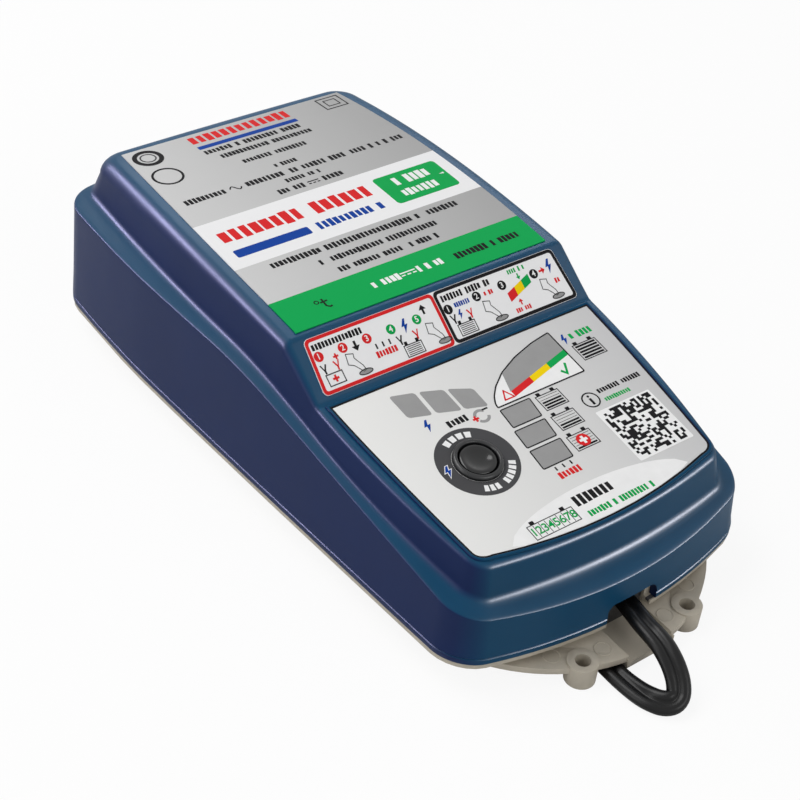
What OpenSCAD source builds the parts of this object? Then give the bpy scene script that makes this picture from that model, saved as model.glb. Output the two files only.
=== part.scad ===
// Car battery charger: a wedge-shaped case on a flanged tray, with its boards and its output lead.
// X runs across, +Y points to the mains end and +Z up. The origin is on the floor under the middle.

/* [Case] */
// Width of the case at its widest place
case_w = 117.2; // [114:0.2:121]
// Length of the case over its two end walls
case_l = 204; // [200:1:210]
// Place of the widest width, ahead of the middle
widest_y = 53.3; // [40:0.1:65]
// How much narrower each side is at the front corner
front_narrowing = 6.6; // [4:0.1:8]
// How much narrower each side is at the rear corner
rear_narrowing = 1; // [0.5:0.1:4]
// How far the front wall bows out
front_bulge = 9.4; // [7:0.1:11]
// How far the rear wall bows out
rear_bulge = 0.8; // [0.2:0.1:2]
// Size of the front corners
front_corner = 9; // [7:0.5:11]
// Size of the rear corners
rear_corner = 12; // [10:0.5:16]
// Thickness of the case wall
wall = 2.4; // [2:0.1:3]
// Slant of the side walls, from edge to crease
side_draft = 1.2; // [0.4:0.1:1.6]
// Height of the case's lower edge above the floor
edge_h = 9.3; // [8.8:0.1:10]

/* [Shoulder] */
// Height of the crease along the rear half
crease_h = 43.8; // [41:0.1:45]
// Place where the crease starts to fall
crease_bend_y = 2; // [-6:0.5:8]
// Fall of the crease towards the front, in degrees
crease_tilt = 11.7; // [10:0.1:12.5]
// Rise of the shoulder from the crease to the foot of the raised top
shoulder_rise = 3; // [2.6:0.1:4]

/* [Raised top] */
// Height of the upper label's face where it is highest
top_h = 59.3; // [58:0.1:61]
// Place of the upper label's highest line, ahead of the middle
crown_y = 47; // [40:0.5:54]
// Fall of the crowned face from its highest line to the first bend
crown_front = 2.2; // [1.8:0.1:2.6]
// Fall of the crowned face from its highest line to the rear
crown_rear = 2.5; // [2:0.1:3]
// How far the wall of the raised top leans out at its foot
tier_draft = 1.2; // [0.6:0.1:1.4]
// Front end of the raised top
top_front_y = -92.2; // [-93:0.1:-90.5]
// Rear end of the raised top
top_rear_y = 99; // [97.5:0.1:99]
// Half width of the raised top at the rear
top_rear_hw = 47.3; // [46.6:0.1:47.8]
// Half width of the raised top at its widest place
top_mid_hw = 50; // [49.6:0.1:50.4]
// Place of the raised top's widest line, ahead of the middle
top_mid_y = 24; // [18:0.5:30]
// Half width of the raised top above the display panel
top_wide_hw = 49.2; // [49:0.1:49.8]
// Half width of the raised top at its front corners
top_front_hw = 43.8; // [42.6:0.1:44]
// How far the front of the raised top bows out
top_bulge = 4.6; // [3.5:0.1:5.5]
// How far the rear of the raised top bows out
top_rear_bulge = 0.5; // [0.3:0.1:1]
// Size of the front corners of the raised top
top_front_corner = 5; // [4:0.5:6]
// Size of the rear corners of the raised top
top_rear_corner = 8; // [6:0.5:9]
// Rounding of the rim at the rear
rim_round_rear = 5.4; // [4.6:0.1:5.8]
// Rounding of the rim round the display panel
rim_round_front = 1.6; // [1:0.1:2]
// Place of the bend above the instruction label
step_top_y = -8.8; // [-9.6:0.1:-8]
// Place of the bend below the instruction label
step_foot_y = -24.5; // [-25.2:0.1:-24]
// Slope of the instruction label, in degrees
step_tilt = 35.5; // [34.5:0.1:36.5]
// Slope of the display panel, in degrees
panel_tilt = 8.8; // [8.4:0.1:9.2]

/* [Labels] */
// Thickness of each label
label_t = 0.3; // [0.2:0.05:0.4]
// Half width of the upper label at its rear edge
label_rear_hw = 39.6; // [38:0.1:40.2]
// Half width of the upper label's front part
label_front_hw = 43.9; // [42:0.1:44.2]
// Place where the upper label's sides start to curve in, ahead of the middle
label_wide_y = 10; // [0:1:20]
// Distance of the upper label's rear edge from the end of the raised top
label_rear_gap = 7; // [6:0.1:8]
// Distance of a label's edge from a bend
label_bend_gap = 1.6; // [1.2:0.1:2]
// Distance of the instruction label's upper edge from the bend above it
steps_gap = 1.4; // [1:0.1:2]
// Length of the instruction label down its slope
steps_l = 16.3; // [15.6:0.1:16.8]
// Half width of the instruction label at its upper edge
steps_top_hw = 43.6; // [42:0.1:44]
// Half width of the instruction label at its lower edge
steps_foot_hw = 44.8; // [43:0.1:45.2]
// Length of the display overlay down its slope, at the middle
overlay_l = 63.5; // [62:0.5:64.5]
// Length of the display overlay's straight sides
overlay_side_l = 56; // [54:0.5:57]
// Half width of the display overlay at its upper edge
overlay_top_hw = 44.9; // [44:0.1:45.4]
// Half width of the display overlay at its lower corners
overlay_foot_hw = 40.9; // [40:0.1:41.1]
// Size of the label corners
label_corner = 3; // [2:0.5:4]

/* [Button] */
// Distance of the button from the middle, to the left
button_x = 21; // [19:0.5:23]
// Distance of the button down the display overlay
button_s = 32.7; // [31:0.1:34]
// Radius of the button
button_r = 5.2; // [4.8:0.1:5.6]
// Radius of the rubber ring round the button
bezel_r = 7; // [6.8:0.1:7.6]
// Height of the rubber ring above the overlay
bezel_h = 1.4; // [1:0.1:2]
// Travel of the button
button_travel = 0.5; // [0.3:0.05:0.7]

/* [Display] */
// Width of a slanted window
window_w = 7; // [6.4:0.1:7.4]
// Length of a slanted window down the panel
window_l = 8.6; // [8:0.1:9]
// Height of a stacked window
stack_h = 6.6; // [6:0.1:7]
// Width of a stacked window
stack_w = 10.6; // [10:0.1:11]
// Depth of the display board below the overlay
display_depth = 11; // [10:0.5:12]
// Width of the display board
display_w = 72; // [70:1:76]
// Length of the display board
display_l = 42; // [40:1:43]
// Thickness of the circuit boards
board_t = 1.6; // [1.2:0.1:2]

/* [Tray] */
// Height of the flange's underside above the floor
flange_lift = 3.9; // [3.7:0.1:4.2]
// Thickness of the flange
flange_t = 2; // [1.6:0.1:2.4]
// Radius of the flange's two round ends
flange_r = 50; // [49:0.1:50.5]
// Length of the flange over its round ends
flange_l = 223.4; // [222:0.2:224]
// Thickness of the rim under the case's edge
rim_t = 1.4; // [1.2:0.1:1.5]
// Distance between the fixing holes across the charger
hole_span_x = 37.6; // [36:0.1:39]
// Distance from the tray's end to the middle of a mounting hole
hole_end_gap = 5.6; // [5.4:0.1:6.2]
// Radius of a fixing hole
hole_r = 2.2; // [2:0.05:2.4]
// Radius of a fixing boss
boss_r = 4.3; // [4:0.1:4.6]
// Height of a fixing boss's top above the flange
boss_rise = 0.6; // [0.4:0.1:1]
// Width of the lead's channel through the flange
channel_w = 15.6; // [15:0.2:16]
// Depth of the lead's channel below the flange's top
channel_depth = 2; // [1.5:0.1:2.1]
// Width of the notch over the lead in the front wall
notch_w = 18; // [16:0.5:19]
// Height of the notch above the case's edge
notch_h = 6; // [5:0.1:7]

/* [Fasteners] */
// Radius of a screw's shank
screw_r = 1.5; // [1.4:0.05:1.6]
// Radius of a screw's head
screw_head_r = 3; // [2.8:0.1:3.2]
// Height of a screw's head
screw_head_h = 2.2; // [2:0.1:2.4]
// Distance of a case screw from the middle
case_screw_x = 36; // [35:0.5:37]
// Distance of a case screw from the centre of the length
case_screw_y = 80; // [79.5:0.5:81]

/* [Main board] */
// Width of the main board
board_w = 84; // [82:1:88]
// Length of the main board
board_l = 136; // [134:1:138]
// Middle of the main board along the charger
board_y = 4; // [3:0.5:4.5]
// Height of the main board's underside above the flange
board_lift = 8; // [7.5:0.5:9]

/* [Board pieces] */
// Radius of the main capacitor
bulk_r = 11; // [9:0.5:12]
// Height of the main capacitor
bulk_h = 30; // [25:1:33]
// Width of the transformer core
core_w = 34; // [30:1:36]
// Depth of the transformer core
core_d = 12; // [10:0.5:14]
// Height of the transformer core
core_h = 30; // [26:1:32]
// Radius of the transformer winding
winding_r = 12; // [11:0.5:12.5]
// Height of each heat sink
sink_h = 28; // [22:1:31]
// Length of each heat sink
sink_l = 44; // [36:1:46]
// Thickness of each heat sink
sink_t = 2; // [1.5:0.1:2.5]
// Radius of the output choke
choke_r = 11; // [10:0.5:12]
// Height of the output choke
choke_h = 9; // [8:0.5:10]

/* [Lead] */
// Width of the flat twin lead
lead_w = 6.6; // [6.2:0.1:6.6]
// Thickness of the flat twin lead
lead_t = 3.3; // [3:0.1:3.3]
// Radius of the innermost turn of the put-away lead
hank_r = 9.6; // [9:0.1:10.5]
// Length of the straight runs of the put-away lead
hank_run = 100; // [96:1:110]
// Turns of the put-away lead
hank_turns = 3; // [2:1:3]
// Step from one turn of the put-away lead to the next
hank_pitch = 3.85; // [3.8:0.01:4]

/* [Hidden] */

fine = 64;
small = 32;
eps = 0.01;
slip = 0.15;
air = 0.3;
mate = 0.5;

// ---- outlines -----------------------------------------------------------------------------------
end_steps = 4;
corner_steps = 6;
corner_pull = 0.56;
front_power = 1.2;
taper_power = 2;
overlay_power = 1.4;
case_front_y = -case_l / 2;
case_rear_y = case_l / 2;
front_run = widest_y - case_front_y - front_bulge - front_corner;
rear_run = case_rear_y - rear_bulge - rear_corner - widest_y;
// Places along the sides where every outline has a point
side_stops = [
    -74, -62, -50, -40, -31, step_foot_y, (step_foot_y + step_top_y) / 2, step_top_y,
    crease_bend_y, 13, 25, 37, 49, 61, 73, 82
];

function case_hw(y) = case_w / 2 - (y < widest_y
    ? front_narrowing * pow((widest_y - y) / front_run, front_power)
    : rear_narrowing * pow((y - widest_y) / rear_run, 2));
top_taper_run = step_foot_y - top_front_y - top_bulge - top_front_corner;
top_rear_run = top_rear_y - top_rear_bulge - top_rear_corner - top_mid_y;
function top_hw(y) = y < step_foot_y
    ? top_wide_hw - (top_wide_hw - top_front_hw) * pow((step_foot_y - y) / top_taper_run, taper_power)
    : y < top_mid_y
    ? top_mid_hw - (top_mid_hw - top_wide_hw) * pow((top_mid_y - y) / (top_mid_y - step_foot_y), 2)
    : top_mid_hw - (top_mid_hw - top_rear_hw) * pow((y - top_mid_y) / top_rear_run, 2);

function cross2(p, q) = p.x * q.y - p.y * q.x;
function meet(a, da, b, db) = a + da * cross2(b - a, db) / cross2(da, db);
function curve(a, k, b, t, u) =
    a * u * u * u + 3 * (a + (k - a) * corner_pull) * u * u * t
    + 3 * (b + (k - b) * corner_pull) * u * t * t + b * t * t * t;
function bend(a, k, b, n) = [for (i = [0:n]) curve(a, k, b, i / n, 1 - i / n)];

// Half of one end, from the middle of the end to the side: way is +1 at the front and -1 at the rear
function half_end(hw, end_y, bulge, corner, way) =
    let (
        side_y = end_y + way * (bulge + corner),
        b = [hw(side_y), side_y],
        x_a = b.x - corner,
        a = [x_a, end_y + way * bulge * pow(x_a / b.x, 2)],
        da = [1, way * 2 * bulge * x_a / (b.x * b.x)],
        db = [hw(side_y + way) - b.x, way],
        k = meet(a, da, b, db)
    )
    concat(
        [for (i = [0:end_steps - 1]) let (x = x_a * i / end_steps)
            [x, end_y + way * bulge * pow(x / b.x, 2)]],
        bend(a, k, b, corner_steps)
    );
function backwards(list) = [for (i = [len(list) - 1:-1:0]) list[i]];
function half_outline(hw, y_f, bulge_f, corner_f, y_r, bulge_r, corner_r) = concat(
    half_end(hw, y_f, bulge_f, corner_f, 1),
    [for (y = side_stops) [hw(y), y]],
    backwards(half_end(hw, y_r, bulge_r, corner_r, -1))
);
function case_half(d) = half_outline(function (y) case_hw(y) - d, case_front_y + d, front_bulge,
    front_corner - d / 2, case_rear_y - d, rear_bulge, rear_corner - d / 2);
function top_half(d) = half_outline(function (y) top_hw(y) - d, top_front_y + d, top_bulge,
    top_front_corner - d / 2, top_rear_y - d, top_rear_bulge, top_rear_corner - d / 2);
function whole(half) = concat(half, [for (i = [len(half) - 2:-1:1]) [-half[i].x, half[i].y]]);

case_0 = case_half(0);
case_1 = case_half(1) - case_0;
top_0 = top_half(0);
top_1 = top_half(1) - top_0;
half_n = len(case_0);
ring_n = 2 * half_n - 2;

// ---- heights ------------------------------------------------------------------------------------
step_top_z = top_h - crown_front;
step_foot_z = step_top_z - (step_top_y - step_foot_y) * tan(step_tilt);
function label_z(y) = y > crown_y ? top_h - crown_rear * pow((y - crown_y) / (top_rear_y - crown_y), 2)
    : y > step_top_y ? top_h - crown_front * pow((crown_y - y) / (crown_y - step_top_y), 2)
    : y > step_foot_y ? step_top_z - (step_top_y - y) * tan(step_tilt)
    : step_foot_z - (step_foot_y - y) * tan(panel_tilt);
function top_z(y) = label_z(y) - label_t;
function crease_z(y) = crease_h - max(0, crease_bend_y - y) * tan(crease_tilt);
rim_run = top_rear_y - top_rear_corner - step_foot_y;
function rim_round(y) = rim_round_front
    + (rim_round_rear - rim_round_front) * sqrt(max(0, min(1, (y - step_foot_y) / rim_run)));

// ---- the shell's rings, from the lower edge to the flat top -------------------------------------
// Each step over the shoulder: how far in, and how much of the rise
shoulder = [[0, 0], [0.08, 0.12], [0.55, 0.28], [0.82, 0.45], [0.96, 0.74], [1, 1]];
top_draft = 0.3;
function case_point(i, d) = case_0[i] + case_1[i] * d;
function top_point(i, d) = top_0[i] + top_1[i] * d;
function lift(p, z) = [p.x, p.y, z];
// Point i of the ring at each level; d is the distance in from the outer skin
function edge_point(i, d) = lift(case_point(i, d), edge_h);
function shoulder_point(i, d, s) =
    let (p = case_point(i, side_draft + d) * (1 - s[0]) + top_point(i, d - tier_draft) * s[0])
    lift(p, crease_z(p.y) + shoulder_rise * s[1] - d);
function rim_point(i, d, turn) =
    let (r = max(rim_round(top_0[i].y) - d, d > 0 ? rim_round_front / 2 : 0))
    let (p = top_point(i, top_draft + d + r * (1 - cos(turn))))
    lift(p, top_z(p.y) - d - r * (1 - sin(turn)));
rim_turns = [0, 30, 60, 90];
function half_rings(d) = concat(
    [[for (i = [0:half_n - 1]) edge_point(i, d)]],
    [for (s = shoulder) [for (i = [0:half_n - 1]) shoulder_point(i, d, s)]],
    [for (turn = rim_turns) [for (i = [0:half_n - 1]) rim_point(i, d, turn)]]
);
function mirrored(half) =
    concat(half, [for (i = [half_n - 2:-1:1]) [-half[i].x, half[i].y, half[i].z]]);
rings_n = 1 + len(shoulder) + len(rim_turns);
function skin(d) = [for (half = half_rings(d)) each mirrored(half)];

function two(a, b, c, d, flip) = flip ? [[a, c, b], [a, d, c]] : [[a, b, c], [a, c, d]];
function skin_faces(from, flip) = [
    for (k = [0:rings_n - 2]) for (i = [0:ring_n - 1])
        let (j = (i + 1) % ring_n, a = from + k * ring_n, b = a + ring_n)
        each two(a + i, b + i, b + j, a + j, flip)
];
function fix(face, flip) = flip ? [face[0], face[2], face[1]] : face;
function cap(from, flip) = let (a = from + (rings_n - 1) * ring_n) concat(
    [fix([a, a + ring_n - 1, a + 1], flip)],
    [for (i = [1:half_n - 3]) each two(a + i, a + ring_n - i, a + ring_n - i - 1, a + i + 1, flip)],
    [fix([a + half_n - 2, a + half_n, a + half_n - 1], flip)]
);

module shell() {
    inner = rings_n * ring_n;
    polyhedron(
        points = concat(skin(0), skin(wall)),
        faces = concat(
            skin_faces(0, false), cap(0, false),
            skin_faces(inner, true), cap(inner, true),
            [for (i = [0:ring_n - 1]) let (j = (i + 1) % ring_n)
                each two(i, j, inner + j, inner + i, false)]
        )
    );
}

// ---- shared places ------------------------------------------------------------------------------
floor_z = flange_lift + flange_t;
hole_span_y = flange_l - 2 * hole_end_gap;
board_z = floor_z + board_lift;
deck_z = board_z + board_t;
overlay_gap = 2.3;
overlay_y = step_foot_y - overlay_gap;
skin_depth = label_t * cos(panel_tilt);
wall_depth = (label_t + wall) * cos(panel_tilt);
notch_x = 1.6;
channel_x = 0.8;
inner_front_y = case_front_y + wall;

// Height of the display board's underside at a place along the case
function display_under_z(y) = label_z(y) - (display_depth + board_t) / cos(panel_tilt);

// Children stand in the display panel's own frame: X across, -Y down the slope, Z out of the panel
module on_panel() {
    translate([0, overlay_y, label_z(overlay_y)])
        rotate([panel_tilt, 0, 0])
            children();
}
module at_button() {
    translate([-button_x, -button_s, 0])
        children();
}
module post(r, from, to, $fn = small) {
    translate([0, 0, from])
        cylinder(r = r, h = to - from);
}
module block(size, at) {
    translate([at.x - size.x / 2, at.y - size.y / 2, at.z])
        cube(size);
}
module four(x, y) {
    for (sx = [-1, 1], sy = [-1, 1])
        translate([sx * x, sy * y, 0])
            children();
}
function soft_corners(pts, r, n = 4) = let (m = len(pts)) [
    for (i = [0:m - 1])
        let (
            k = pts[i],
            p = pts[(i + m - 1) % m] - k,
            q = pts[(i + 1) % m] - k
        )
        each bend(k + p * r / norm(p), k, k + q * r / norm(q), n)
];

// ---- case ---------------------------------------------------------------------------------------
pillar_r = 4;
pillar_foot_z = floor_z + 6;
display_pillar_r = 2.8;
display_pillar_x = display_w / 2 - display_pillar_r - mate;
display_s = 27;
display_pillar_s = display_l / 2 - display_pillar_r - 1.2;
gland_z = 27;
gland_r = 6;
bezel_neck_r = button_r + 1;

module display_corners() {
    for (sx = [-1, 1], sy = [-1, 1])
        translate([sx * display_pillar_x, -display_s + sy * display_pillar_s, 0])
            children();
}
module notch_shape() {
    polygon(soft_corners([
        [notch_x - notch_w / 2, edge_h - wall],
        [notch_x + notch_w / 2, edge_h - wall],
        [notch_x + notch_w / 2, edge_h + notch_h],
        [notch_x - notch_w / 2, edge_h + notch_h]
    ], notch_h / 2));
}
module upper_case() {
    color("#1d466b")
    difference() {
        union() {
            shell();
            for (sx = [-1, 1], sy = [-1, 1])
                translate([sx * case_screw_x, sy * case_screw_y, 0])
                    post(pillar_r, pillar_foot_z, top_z(sy * case_screw_y - pillar_r) - wall / 2);
            on_panel() display_corners()
                post(display_pillar_r, -display_depth, -wall_depth + wall / 2);
        }
        on_panel() {
            at_button() post(bezel_neck_r, -wall_depth - wall, wall, $fn = fine);
            translate([0, 0, -wall_depth - wall]) linear_extrude(wall_depth + 2 * wall)
                windows(slip);
            display_corners() post(screw_r, -display_depth - wall, -display_depth + 5);
        }
        four(case_screw_x, case_screw_y) post(screw_r, pillar_foot_z - wall, pillar_foot_z + 10);
        translate([0, inner_front_y + wall, 0]) rotate([90, 0, 0])
            linear_extrude(3 * wall) notch_shape();
        translate([0, case_rear_y + wall, gland_z]) rotate([90, 0, 0])
            post(gland_r, 0, 3 * wall);
    }
}

// ---- tray ---------------------------------------------------------------------------------------
tongue_h = 3;
tongue_t = 1.6;
tray_wall = 3;
tray_r = flange_r - 1;
hollow_r = tray_r - tray_wall;
seal_w = 1.2;
seal_h = 0.8;
tower_r = 5;
board_post_r = 3;
board_screw_x = board_w / 2 - 4;
board_screw_y = board_l / 2 - 4;
channel_back_y = -90;
rim_inset = 0.2;
pilot_h = 7;

module stadium(r, half_l, from, to) {
    translate([-r, -(half_l - r), from])
        cube([2 * r, 2 * (half_l - r), to - from]);
    for (sy = [-1, 1])
        translate([0, sy * (half_l - r), 0])
            post(r, from, to, $fn = fine);
}
// A band that follows the case's outline between two distances in from it
module band(out_d, in_d, from, to) {
    translate([0, 0, from]) linear_extrude(to - from) difference() {
        polygon(whole(case_half(out_d)));
        polygon(whole(case_half(in_d)));
    }
}
module board_corners() {
    translate([0, board_y, 0])
        four(board_screw_x, board_screw_y)
            children();
}
module base_tray() {
    tray_half = case_l / 2 - 7;
    lip_z = floor_z - channel_depth;
    lip_w = channel_w + 2 * mate;
    color("#9b9488")
    difference() {
        union() {
            stadium(flange_r, flange_l / 2, flange_lift, floor_z);
            stadium(tray_r, tray_half, floor_z - flange_t / 2, edge_h - rim_t / 2);
            translate([0, 0, edge_h - rim_t]) linear_extrude(rim_t)
                polygon(whole(case_half(rim_inset)));
            band(wall + air, wall + air + tongue_t, edge_h - rim_t / 2, edge_h + tongue_h);
            // Sunken floor of the lead's channel
            translate([channel_x - lip_w / 2, -flange_l / 2, lip_z - flange_t])
                cube([lip_w, flange_l / 2 + channel_back_y + flange_t, channel_depth + flange_t / 2]);
        }
        stadium(hollow_r, tray_half - tray_wall, floor_z, edge_h + wall);
        translate([channel_x - channel_w / 2, -flange_l / 2 - wall, lip_z])
            cube([channel_w, channel_back_y + flange_l / 2 + wall, edge_h + tongue_h]);
        band(wall / 2 - seal_w / 2, wall / 2 + seal_w / 2, edge_h - seal_h, edge_h + seal_h);
        four(hole_span_x / 2, hole_span_y / 2) post(hole_r, 0, floor_z + wall, $fn = fine);
        four(case_screw_x, case_screw_y) screw_way(flange_lift - wall);
    }
    color("#9b9488") difference() {
        union() {
            four(hole_span_x / 2, hole_span_y / 2) post(boss_r, 0, floor_z + boss_rise, $fn = fine);
            four(case_screw_x, case_screw_y) post(tower_r, flange_lift, pillar_foot_z);
            board_corners() post(board_post_r, flange_lift + flange_t / 2, board_z);
        }
        four(hole_span_x / 2, hole_span_y / 2) post(hole_r, -wall, floor_z + wall, $fn = fine);
        four(case_screw_x, case_screw_y) screw_way(flange_lift - wall);
        board_corners() post(screw_r, board_z - pilot_h, board_z + wall);
    }
}
// Way for a case screw through the tray, with a seat for its head
module screw_way(from) {
    post(screw_r + slip, from, pillar_foot_z + wall);
    post(screw_head_r + slip, from, flange_lift + screw_head_h + slip);
}
module case_seal() {
    color("#26282b") difference() {
        band(wall / 2 - seal_w / 2, wall / 2 + seal_w / 2, edge_h - seal_h, edge_h);
        translate([channel_x - channel_w / 2, case_front_y - wall, 0])
            cube([channel_w, channel_back_y - case_front_y, edge_h + wall]);
    }
}
module screw(from, l) {
    post(screw_head_r, from - screw_head_h, from);
    post(screw_r, from, from + l);
}
module case_screws() {
    color("#8d9095") four(case_screw_x, case_screw_y)
        screw(flange_lift + screw_head_h + slip, pillar_foot_z - flange_lift - screw_head_h + pilot_h);
}

// ---- labels -------------------------------------------------------------------------------------
label_rear_y = top_rear_y - label_rear_gap;
label_front_y = step_top_y + label_bend_gap;
function label_hw(y) = label_front_hw - (label_front_hw - label_rear_hw)
    * pow(max(0, y - label_wide_y) / (label_rear_y - label_wide_y), 2);
// Places along the crowned face where the skin below the label bends
crown_stops = [
    for (i = [0:half_n - 1]) let (y = rim_point(i, 0, 90).y) if (y > label_front_y - 1) y
];
module rating_label() {
    sides = concat([label_front_y], [for (y = crown_stops) if (y > label_front_y && y < label_rear_y) y],
        [label_rear_y]);
    color("#c9c8c6") intersection() {
        translate([0, 0, step_foot_z]) linear_extrude(top_h) polygon(concat(
            [for (y = sides) [label_hw(y), y]],
            [for (y = backwards(sides)) [-label_hw(y), y]]
        ));
        rotate([90, 0, 90]) translate([0, 0, -case_w / 2]) linear_extrude(case_w) polygon(concat(
            [for (y = crown_stops) [y, top_z(y)]],
            [for (y = backwards(crown_stops)) [y, label_z(y)]]
        ));
    }
}
module instruction_label() {
    y = step_top_y - steps_gap * cos(step_tilt);
    color("#f0f0f0")
    translate([0, y, label_z(y)]) rotate([step_tilt, 0, 0])
        translate([0, 0, -label_t * cos(step_tilt)]) linear_extrude(label_t * cos(step_tilt))
            polygon(soft_corners([
                [-steps_foot_hw, -steps_l],
                [steps_foot_hw, -steps_l],
                [steps_top_hw, 0],
                [-steps_top_hw, 0]
            ], label_corner / 2));
}
// Outline of the display overlay, with its bowed lower edge
function overlay_hw(t) = overlay_top_hw - (overlay_top_hw - overlay_foot_hw) * pow(t, overlay_power);
function overlay_points() = let (bow = overlay_l - overlay_side_l - label_corner) concat(
    [for (t = [0:0.2:0.81]) [-overlay_hw(t), -overlay_side_l * t]],
    bend([-overlay_foot_hw, -overlay_side_l], [-overlay_foot_hw, -overlay_side_l - label_corner],
        [-overlay_foot_hw + label_corner * 1.4, -overlay_side_l - label_corner], corner_steps),
    [for (i = [-3:3]) let (x = (overlay_foot_hw - 1.4 * label_corner) * i / 4)
        [x, -overlay_l + bow * pow(i / 4, 2)]],
    bend([overlay_foot_hw - label_corner * 1.4, -overlay_side_l - label_corner],
        [overlay_foot_hw, -overlay_side_l - label_corner], [overlay_foot_hw, -overlay_side_l],
        corner_steps),
    [for (t = [0.8:-0.2:-0.01]) [overlay_hw(t), -overlay_side_l * t]]
);
module display_overlay() {
    color("#d6d5d3") on_panel() difference() {
        translate([0, 0, -skin_depth]) linear_extrude(skin_depth) polygon(overlay_points());
        at_button() post(bezel_neck_r, -wall, wall, $fn = fine);
    }
}

// ---- display ------------------------------------------------------------------------------------
// Middles of the slanted windows, beside the button
slant_at = [[-25.3, -8.8], [-17.2, -10.9], [-9.5, -13.4]];
slant_drop = 0.26;
stack_x = -0.4;
stack_s = [24.5, 32.2, 39.8];
gauge_points = [[4.4, -17.8], [26.8, -12.4], [26.8, -4], [18, -5.6], [10.5, -8.2], [4.4, -11.4]];
gauge_led = [19, -10.5];

// The status windows' shapes in the display panel's frame
module windows(gap) {
    w = window_w / 2 + gap;
    for (at = slant_at) translate(at) polygon([
        [-w, window_l / 2 + gap + w * slant_drop],
        [w, window_l / 2 + gap - w * slant_drop],
        [w, -window_l / 2 - gap - w * slant_drop],
        [-w, -window_l / 2 - gap + w * slant_drop]
    ]);
    for (s = stack_s)
        translate([stack_x - stack_w / 2 - gap, -s - stack_h / 2 - gap])
            square([stack_w + 2 * gap, stack_h + 2 * gap]);
    polygon(grown(gauge_points, gap));
}
function middle(pts) = [for (p = pts) 1 / len(pts)] * pts;
function grown(pts, gap) = let (mid = middle(pts)) [for (p = pts) p + (p - mid) * gap * 2 / norm(p - mid)];
led_h = 0.8;
led_w = 2;
guide_t = 1.2;
guide_x = 28.5;
guide_top_s = 3;
guide_foot_s = 20;
module light_guide() {
    color("#e8e8e4", 0.8) on_panel() {
        translate([0, 0, -display_depth + led_h + slip])
            linear_extrude(display_depth - led_h - slip - skin_depth) windows(0);
        translate([0, 0, -wall_depth - guide_t]) linear_extrude(guide_t) {
            translate([-guide_x - 1, -guide_foot_s]) square([2 * guide_x, guide_foot_s - guide_top_s]);
            translate([stack_x - stack_w / 2 - 1, -stack_s[2] - stack_h / 2 - 1])
                square([stack_w + 2, stack_s[2]]);
        }
    }
}
module status_leds() {
    color("#f2f2ea") on_panel() {
        for (at = slant_at) block([led_w, led_w, led_h], [at.x, at.y, -display_depth]);
        for (s = stack_s) block([led_w, led_w, led_h], [stack_x, -s, -display_depth]);
        block([led_w, led_w, led_h], [gauge_led.x, gauge_led.y, -display_depth]);
    }
}
module display_board() {
    color("#1f6b3f") on_panel() difference() {
        block([display_w, display_l, board_t], [0, -display_s, -display_depth - board_t]);
        display_corners() post(screw_r + slip, -display_depth - board_t - eps, -display_depth + eps);
    }
}
module display_screws() {
    color("#b8bcc2") on_panel() display_corners()
        screw(-display_depth - board_t, board_t + 4.5);
}

// ---- button -------------------------------------------------------------------------------------
bezel_lip_t = 1.2;
button_bore_r = button_r + air;
button_top = 1.1;
button_edge = 0.5;
button_flange_t = 1;
button_flange_top = -wall_depth - bezel_lip_t - air;
plunger_r = 1.7;
plunger_top = button_flange_top - button_flange_t - 1;
switch_w = 6;
switch_h = 4;
plunger_foot = -display_depth + switch_h - 1.6;
module button_bezel() {
    color("#1d1e20") on_panel() at_button() rotate_extrude($fn = fine) polygon([
        [button_bore_r, -wall_depth - bezel_lip_t],
        [bezel_r, -wall_depth - bezel_lip_t],
        [bezel_r, -wall_depth],
        [bezel_neck_r, -wall_depth],
        [bezel_neck_r, 0],
        [bezel_r, 0],
        [bezel_r, bezel_h * 0.6],
        [bezel_r - bezel_h * 0.4, bezel_h],
        [button_bore_r + 0.2, bezel_h],
        [button_bore_r, bezel_h * 0.8]
    ]);
}
module mode_button() {
    color("#2a2b2d") on_panel() at_button() {
        rotate_extrude($fn = fine) polygon([
            [0, button_flange_top - button_flange_t],
            [bezel_neck_r, button_flange_top - button_flange_t],
            [bezel_neck_r, button_flange_top],
            [button_r, button_flange_top],
            [button_r, button_edge],
            [button_r - 1, button_top],
            [0, button_top]
        ]);
        post(plunger_r, plunger_top, button_flange_top - button_flange_t + eps);
    }
}
module switch_plunger() {
    color("#b9322b") on_panel() at_button() post(plunger_r, plunger_foot, plunger_top);
}
module tact_switch() {
    color("#33363a") on_panel() at_button() difference() {
        block([switch_w, switch_w, switch_h], [0, 0, -display_depth]);
        post(plunger_r + 0.08, plunger_foot - button_travel - air, -display_depth + switch_h + eps);
    }
}

// ---- main board ---------------------------------------------------------------------------------
// Places of the pieces on the main board
terminal_at = [0, 62];
fuse_at = [-26, 62];
film_at = [24, 61];
filter_at = [-23, 40];
bridge_at = [0, 45];
bulk_at = [20, 40];
transformer_at = [0, 9];
sink_y = 4;
sink_x = 38;
optocoupler_at = [-25, -4];
output_choke_at = [18, -18];
output_caps_x = [-21, -6];
output_caps_y = -19;
chip_at = [-24, -44];
sensor_at = [24, -50];
output_terminal_at = [0, -56];
ribbon_y = overlay_y - 6.2;

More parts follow.
